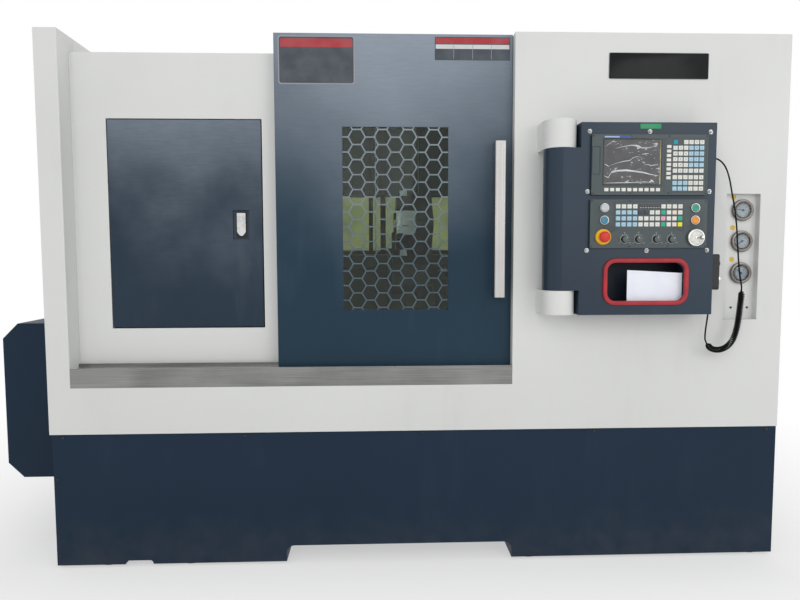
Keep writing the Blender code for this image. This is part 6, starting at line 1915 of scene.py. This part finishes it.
        shop.piece("pulse_wheel_hub", lathed(hub, Axis.Y, dial, 24), SATIN_CHROME, Body.PULSER)

    def papers(self, shop: Workshop) -> None:
        """A small stack of sheets that leans in the pocket, each a little askew.

        Args:
            shop: The workshop that makes the pieces.
        """
        sheets = []
        right, foot, back = 2.2657, 0.9803, -0.0453
        for i in range(5):
            sheet = bmesh.new()
            bmesh.ops.create_grid(sheet, x_segments=12, y_segments=10, size=0.5,
                                  matrix=Matrix.Rotation(math.pi / 2, 4, "X"))
            wide, high = 0.1515 - 0.0014 * i, 0.1125 - 0.0016 * i
            for vert in sheet.verts:
                u, v = vert.co.x + 0.5, vert.co.z + 0.5
                slope = 0.008 * (1 - u) - 0.0085 * (1 - 0.15 * i)
                curl = 0.0011 * math.sin(u * 3.1 + i) * v
                vert.co = Vector((right - 0.153 + 0.0004 * i + u * wide,
                                  back - 0.0003 - 0.00045 * i - 0.0005 * v + min(curl, 0.0) * 0.4,
                                  foot + 0.0002 + v * (high + slope)))
            bmesh.ops.solidify(sheet, geom=sheet.faces[:], thickness=0.00012)
            sheets.append(sheet)
        shop.piece("papers", sheets, PAPER, Body.PENDANT, stands_for=["document_sheets"])
        folded = bmesh.new()
        line = [(2.067, -0.1155, 1.097), (2.12, -0.1165, 1.0942), (2.165, -0.116, 1.0916),
                (2.215, -0.1145, 1.0888), (2.264, -0.112, 1.0862), (2.19, -0.088, 1.088), (2.118, -0.064, 1.0905)]
        verts = [folded.verts.new((x, y, foot + 0.0002)) for x, y, _ in line]
        edges = [folded.edges.new(pair) for pair in zip(verts, verts[1:])]
        grown = bmesh.ops.extrude_edge_only(folded, edges=edges)
        for vert in (v for v in grown["geom"] if isinstance(v, bmesh.types.BMVert)):
            vert.co.z = min(line, key=lambda p: abs(p[0] - vert.co.x) + abs(p[1] - vert.co.y))[2]
        bmesh.ops.recalc_face_normals(folded, faces=folded.faces[:])
        bmesh.ops.solidify(folded, geom=folded.faces[:], thickness=0.0004)
        shop.piece("folded_sheet", folded, PAPER, Body.PENDANT, smooth=60.0)

    def hand_unit(self, shop: Workshop) -> None:
        """The hand unit's case, its selector, its wheel and both cord glands.

        Args:
            shop: The workshop that makes the pieces.
        """
        shop.softened("hand_unit", BLACK, Body.PENDANT, 0.001)
        left = self.right + 0.0003
        base = left + 0.034 + 0.0003
        y, z = self.pivot_y, 1.062
        wheel = [(0.0, 0.0), (0.0, 0.0238), (0.0012, 0.024), (0.0085, 0.024), (0.01, 0.0226), (0.0092, 0.019),
                 (0.0092, 0.0)]
        rim = lathed(wheel, Axis.X, (base, y, z), 72)
        shop.piece("hand_wheel_disc", rim, SATIN_CHROME, Body.REMOTE_WHEEL, stands_for=["hand_wheel"])
        grip = [(0.007, 0.0), (0.007, 0.003), (0.012, 0.003), (0.013, 0.0042), (0.0215, 0.004), (0.023, 0.0026),
                (0.023, 0.0)]
        knob = lathed(grip, Axis.X, (base, y, z + 0.013), 20)
        shop.piece("hand_wheel_grip", knob, SATIN_CHROME, Body.REMOTE_WHEEL)
        ribs = []
        for i in range(4):
            shift, radius = i * 0.0028, 0.0078 - 0.0006 * i
            ribs.append(rod((self.right + 0.001 + shift, -0.05, 1.495), Axis.X, 0.0016, radius, 0.0003, 20))
            ribs.append(rod((left + 0.017, self.pivot_y, 1.0255 - shift), Axis.Z, -0.0016, radius, 0.0003, 20))
        shop.piece("cord_gland_ribs", ribs, RUBBER, Body.PENDANT)


@dataclass
class CurlyCord:
    """The curly cord between the pendant's side and the hand unit.

    Attributes:
        wire: The wire's radius.
        coil: The radius of the coil's centreline.
        pitch: The distance between turns along the coil.
        steps: The points in each turn.
        lead_step: The distance between points along a lead.
        upper: The route of the lead from the pendant's gland to the coil.
        middle: The route of the coil's axis.
        lower: The route of the lead from the coil to the hand unit's gland.
    """

    wire: float = 0.00275
    coil: float = 0.0087
    pitch: float = 0.0075
    steps: int = 14
    lead_step: float = 0.01
    upper: tuple[Place, ...] = (
        (2.3773, -0.05, 1.495), (2.395, -0.05, 1.4945), (2.412, -0.05, 1.49), (2.428, -0.05, 1.479),
        (2.443, -0.05, 1.459), (2.457, -0.05, 1.421), (2.467, -0.05, 1.375), (2.479, -0.05, 1.319),
        (2.489, -0.05, 1.252), (2.496, -0.05, 1.175), (2.504, -0.05, 1.097), (2.511, -0.05, 1.055),
        (2.515, -0.05, 1.035), (2.515, -0.05, 1.0215),
    )
    middle: tuple[Place, ...] = (
        (2.515, -0.05, 1.02), (2.515, -0.05, 1.0), (2.512, -0.05, 0.965), (2.508, -0.05, 0.92),
        (2.501, -0.05, 0.877), (2.489, -0.05, 0.841), (2.468, -0.051, 0.816), (2.438, -0.053, 0.804),
        (2.407, -0.057, 0.809), (2.386, -0.062, 0.828),
    )
    lower: tuple[Place, ...] = (
        (2.3793, -0.0636, 0.8344), (2.3765, -0.067, 0.855), (2.3775, -0.069, 0.885), (2.38, -0.071, 0.915),
        (2.3822, -0.074, 0.95), (2.3823, -0.076, 0.985), (2.3823, -0.076, 1.0137),
    )

    def smooth(self, points: Sequence[Point], step: float) -> list[Vector]:
        """Evenly spaced points on a smooth curve through a route's points.

        Args:
            points: The route's points.
            step: The spacing.

        Returns:
            The points.
        """
        knots = [Vector(p) for p in points]
        knots = [2 * knots[0] - knots[1], *knots, 2 * knots[-1] - knots[-2]]
        fine: list[Vector] = []
        for a, b, c, d in zip(knots, knots[1:], knots[2:], knots[3:]):
            for k in range(40):
                t = k / 40
                bend = (2 * a - 5 * b + 4 * c - d) * t * t + (3 * b - a - 3 * c + d) * t**3
                fine.append(b + 0.5 * ((c - a) * t + bend))
        fine.append(knots[-2])
        lengths = [0.0]
        for p, q in zip(fine, fine[1:]):
            lengths.append(lengths[-1] + (q - p).length)
        count = max(2, round(lengths[-1] / step))
        out, i = [], 0
        for k in range(count + 1):
            target = lengths[-1] * k / count
            while i < len(fine) - 2 and lengths[i + 1] < target:
                i += 1
            share = (target - lengths[i]) / max(lengths[i + 1] - lengths[i], 1e-9)
            out.append(fine[i].lerp(fine[i + 1], min(share, 1.0)))
        return out

    def line(self) -> list[Vector]:
        """The wire's centreline from the pendant's gland to the hand unit's.

        Returns:
            The points of both leads and the coil, in order.
        """
        spine = self.smooth(self.middle, self.pitch / self.steps)
        up = Vector((0.0, 1.0, 0.0))
        coil = []
        ease = self.steps * 1.5
        for i, point in enumerate(spine):
            along = (spine[min(i + 1, len(spine) - 1)] - spine[max(i - 1, 0)]).normalized()
            side = along.cross(up).normalized()
            other = side.cross(along).normalized()
            angle = math.tau * i / self.steps
            reach = self.coil * min(1.0, i / ease, (len(spine) - 1 - i) / ease)
            coil.append(point + side * (math.cos(angle) * reach) + other * (math.sin(angle) * reach))
        upper, lower = (self.smooth(route, self.lead_step) for route in (self.upper, self.lower))
        return upper[:-1] + coil + lower[1:]

    def build(self, shop: Workshop) -> None:
        """Args:
            shop: The workshop that makes the pieces.
        """
        line = [p + shop.shift for p in self.line()]
        curve = bpy.data.curves.new("curly_cord", "CURVE")
        curve.dimensions = "3D"
        curve.bevel_depth, curve.bevel_resolution, curve.use_fill_caps = self.wire, 3, True
        spline = curve.splines.new("POLY")
        spline.points.add(len(line) - 1)
        for point, place in zip(spline.points, line):
            point.co = (*place, 1.0)
        curve.materials.append(CORD_JACKET.material())
        cord = bpy.data.objects.new("curly_cord", curve)
        bpy.context.collection.objects.link(cord)
        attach(cord, Body.PENDANT.value)
        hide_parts("cord_upper_lead", "cord_coil", "cord_lower_lead")


@dataclass
class Machinery:
    """What is behind the doors: bed, headstock, chuck, carriage, turret, tailstock, and the inner guards with painted
    light.

    Attributes:
        chuck_face: A point on the spindle's axis, at the bottom of the chuck's screws.
        screw_circle: The radius of the circle that the screws are on.
    """

    chuck_face: Place = (0.9495, 0.62, 1.08)
    screw_circle: float = 0.075

    def build(self, shop: Workshop) -> None:
        """Finish the machinery and build the inner guards.

        Args:
            shop: The workshop that makes the pieces.
        """
        for node, finish, body, width in (
            ("bed_casting", CASTING, Body.MACHINE, 0.003), ("headstock", CASTING, Body.MACHINE, 0.004),
            ("spindle_motor", CASTING, Body.MACHINE, 0.001), ("drive_belt", RUBBER, Body.MACHINE, 0.001),
            ("spindle_chuck", CHUCK_STEEL, Body.SPINDLE, 0.0008), ("saddle", CASTING, Body.CARRIAGE, 0.002),
            ("cross_slide", CASTING, Body.SLIDE, 0.003), ("turret", GROUND_STEEL, Body.TOOL_DISC, 0.0012),
            ("tailstock", CASTING, Body.TAIL, 0.003), ("quill", GROUND_STEEL, Body.CENTRE, 0.0006),
        ):
            shop.softened(node, finish, body, width)
        for i in range(3):
            shop.dressed(f"chuck_jaw_{i + 1}", GROUND_STEEL)
        self.guards(shop)
        self.chuck_bolts(shop)

    def guards(self, shop: Workshop) -> None:
        """Folded guards behind the ways, each with painted light from a glowing finish, brightest on the middle one
        where the work lamp's light is painted, and the lamp.

        Args:
            shop: The workshop that makes the pieces.
        """
        left, right, face = 0.262, 1.648, 1.165
        bands = (("inner_guard_low", 1.1535, 1.175, DARK_GUARD), ("inner_guard_lit", 1.177, 1.458, LIT_GUARD),
                 ("inner_guard_high", 1.46, 1.85, DIM_GUARD))
        for name, low, high, finish in bands:
            folds = []
            for i in range(6):
                x0 = left + (right - left) * i / 6
                x1 = left + (right - left) * (i + 1) / 6
                step = 0.01 * (i % 2)
                folds.append(slab((x0 + 0.002, face - step, low), (x1 - 0.002, face - step + 0.002, high), 0.0005, 1))
            shop.piece(name, folds, finish, Body.MACHINE)
        posts = [slab((x0, 1.138, 1.1535), (x1, 1.15, 1.85), 0.002, 1) for x0, x1 in ((1.15, 1.172), (1.212, 1.24))]
        shop.piece("inner_guard_posts", posts, GUARD_POST, Body.MACHINE)
        shop.piece("work_lamp_tube", rod((0.9, 0.3, 1.842), Axis.X, 0.6, 0.016, 0.004, 24), LAMP_TUBE, Body.MACHINE)
        clips = [slab((x, 0.29, 1.842), (x + 0.012, 0.31, 1.8837), 0.001) for x in (0.96, 1.43)]
        shop.piece("work_lamp_clips", clips, SATIN_CHROME, Body.MACHINE)

    def chuck_bolts(self, shop: Workshop) -> None:
        """Cap screws in the chuck's face.

        Args:
            shop: The workshop that makes the pieces.
        """
        x, y, z = self.chuck_face
        screw = [(0.0, 0.0), (0.0, 0.0075), (0.0065, 0.0075), (0.0075, 0.0065), (0.0075, 0.004), (0.004, 0.0038),
                 (0.004, 0.0)]
        bolts = []
        for i in range(3):
            angle = math.tau * (i + 0.5) / 3
            spot = (x, y - self.screw_circle * math.sin(angle), z + self.screw_circle * math.cos(angle))
            bolts.append(lathed(screw, Axis.X, spot, 20))
        shop.piece("chuck_screws", bolts, BLACK_OXIDE, Body.SPINDLE)


@dataclass
class Studio:
    """The floor, the world, the lamps and the camera.

    Attributes:
        eye: The camera's place.
        yaw: Its turn to the left, in radians.
        pitch: Its turn upwards.
        roll: Its turn about its line of sight.
        lens: Its focal length in millimetres, on a sensor 36 mm wide.
        footprint: Half the machine's width and depth, where the floor keeps its own colour.
    """

    eye: tuple[float, float, float] = (1.1924, -2.3258, 1.155)
    yaw: float = -0.0357
    pitch: float = -0.0716
    roll: float = 0.0028
    lens: float = 28.8
    footprint: tuple[float, float] = (1.36, 0.8)

    def camera(self, shop: Workshop) -> None:
        """Put the camera where the photograph was taken from.

        Args:
            shop: The workshop, which knows the part's frame.
        """
        data = bpy.data.cameras.new("camera")
        data.lens, data.sensor_width, data.clip_start = self.lens, 36.0, 0.05
        camera = bpy.data.objects.new("camera", data)
        bpy.context.collection.objects.link(camera)
        turn = (Matrix.Rotation(self.yaw, 3, "Z") @ Matrix.Rotation(self.pitch, 3, "X")
                @ Matrix.Rotation(self.roll, 3, "Y") @ Matrix.Rotation(math.pi / 2, 3, "X"))
        camera.matrix_world = Matrix.Translation(Vector(self.eye) + shop.shift) @ turn.to_4x4()
        bpy.context.scene.camera = camera

    def floor(self) -> None:
        """A plain pale floor."""
        bm = bmesh.new()
        bmesh.ops.create_grid(bm, x_segments=1, y_segments=1, size=14.0)
        paint = Finish("floor_paint", linear(250, 250, 250), 0.9)
        floor = shown("floor", bm, paint)
        floor.location.z = -0.0005
        tree = paint.material().node_tree
        self.whitened(NodeSheet(tree), tree.nodes["Principled BSDF"])

    def whitened(self, sheet: NodeSheet, shader: bpy.types.Node) -> None:
        """Let the floor go over to the white background away from the machine, where it is only looked at.

        Args:
            sheet: The floor material's nodes.
            shader: Its Principled shader.
        """
        spot = sheet.split(sheet.place())
        across = sheet.math("SUBTRACT", sheet.math("ABSOLUTE", spot["X"]), self.footprint[0])
        deep = sheet.math("SUBTRACT", sheet.math("ABSOLUTE", spot["Y"]), self.footprint[1])
        fade = sheet.ranged(sheet.math("MAXIMUM", across, deep), 0.0, 1.5, (0.5, 1.0))
        white = sheet.add("ShaderNodeEmission")
        blend = sheet.add("ShaderNodeMixShader")
        sheet.link(sheet.math("MULTIPLY", fade, self.looked_at(sheet)), blend.inputs["Fac"])
        sheet.link(shader.outputs["BSDF"], blend.inputs[1])
        sheet.link(white.outputs["Emission"], blend.inputs[2])
        sheet.link(blend.outputs["Shader"], sheet.tree.nodes["Material Output"].inputs["Surface"])

    def looked_at(self, sheet: NodeSheet) -> Socket:
        """One for rays that look, directly or in metal and through glass, and zero for rays that light.

        Args:
            sheet: The nodes of the floor or the world.

        Returns:
            The socket that puts it out.
        """
        path = sheet.add("ShaderNodeLightPath")
        seen = sheet.math("MAXIMUM", path.outputs["Is Camera Ray"], path.outputs["Is Glossy Ray"])
        return sheet.math("MAXIMUM", seen, path.outputs["Is Transmission Ray"])

    def world(self) -> None:
        """A white background with plain, soft light."""
        world = bpy.data.worlds.new("studio")
        world.use_nodes = True
        sheet = NodeSheet(world.node_tree)
        background = world.node_tree.nodes["Background"]
        background.inputs["Color"].default_value = (1.0, 1.0, 1.0, 1.0)
        sheet.link(sheet.ranged(self.looked_at(sheet), 0.0, 1.0, (0.6, 1.0)), background.inputs["Strength"])
        bpy.context.scene.world = world

    def lamps(self) -> None:
        """Large soft lamps: one high at the left front, one lower at the right, one over the back."""
        for name, place, aim, size, power in (
            ("key_lamp", (-0.9, -5.0, 3.0), (0.0, -0.4, 1.1), 2.8, 50.0),
            ("fill_lamp", (2.8, -4.4, 2.2), (0.3, -0.4, 1.0), 2.4, 32.0),
            ("top_lamp", (0.0, 0.6, 4.6), (0.0, 0.2, 1.0), 3.0, 40.0),
        ):
            data = bpy.data.lights.new(name, "AREA")
            data.energy, data.size = power, size
            lamp = bpy.data.objects.new(name, data)
            lamp.location = place
            lamp.visible_glossy = name != "key_lamp"
            lamp.rotation_euler = (Vector(aim) - Vector(place)).to_track_quat("-Z", "Y").to_euler()
            bpy.context.collection.objects.link(lamp)

    def build(self) -> None:
        """Build the floor, the world and the lamps."""
        self.floor()
        self.world()
        self.lamps()
        bpy.context.scene.view_settings.view_transform = "Standard"


def main() -> None:
    """Load the frame and build the lathe's looks in order."""
    logging.basicConfig(level=logging.INFO, format="%(name)s: %(message)s")
    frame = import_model()
    left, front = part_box("front_cover")[0][:2]
    nodes = {name: node.name for name, node in frame["nodes"].items()}
    shop = Workshop(Vector((left, front, 0.0)), nodes)
    studio = Studio()
    studio.camera(shop)
    CurlyCord().build(shop)
    for assembly in (Enclosure(), SlidingDoor(), CabinetDoor(), Gauges(), Pendant(), Machinery()):
        assembly.build(shop)
        LOG.info("%s is done", type(assembly).__name__)
    studio.build()


if __name__ == "__main__":
    main()
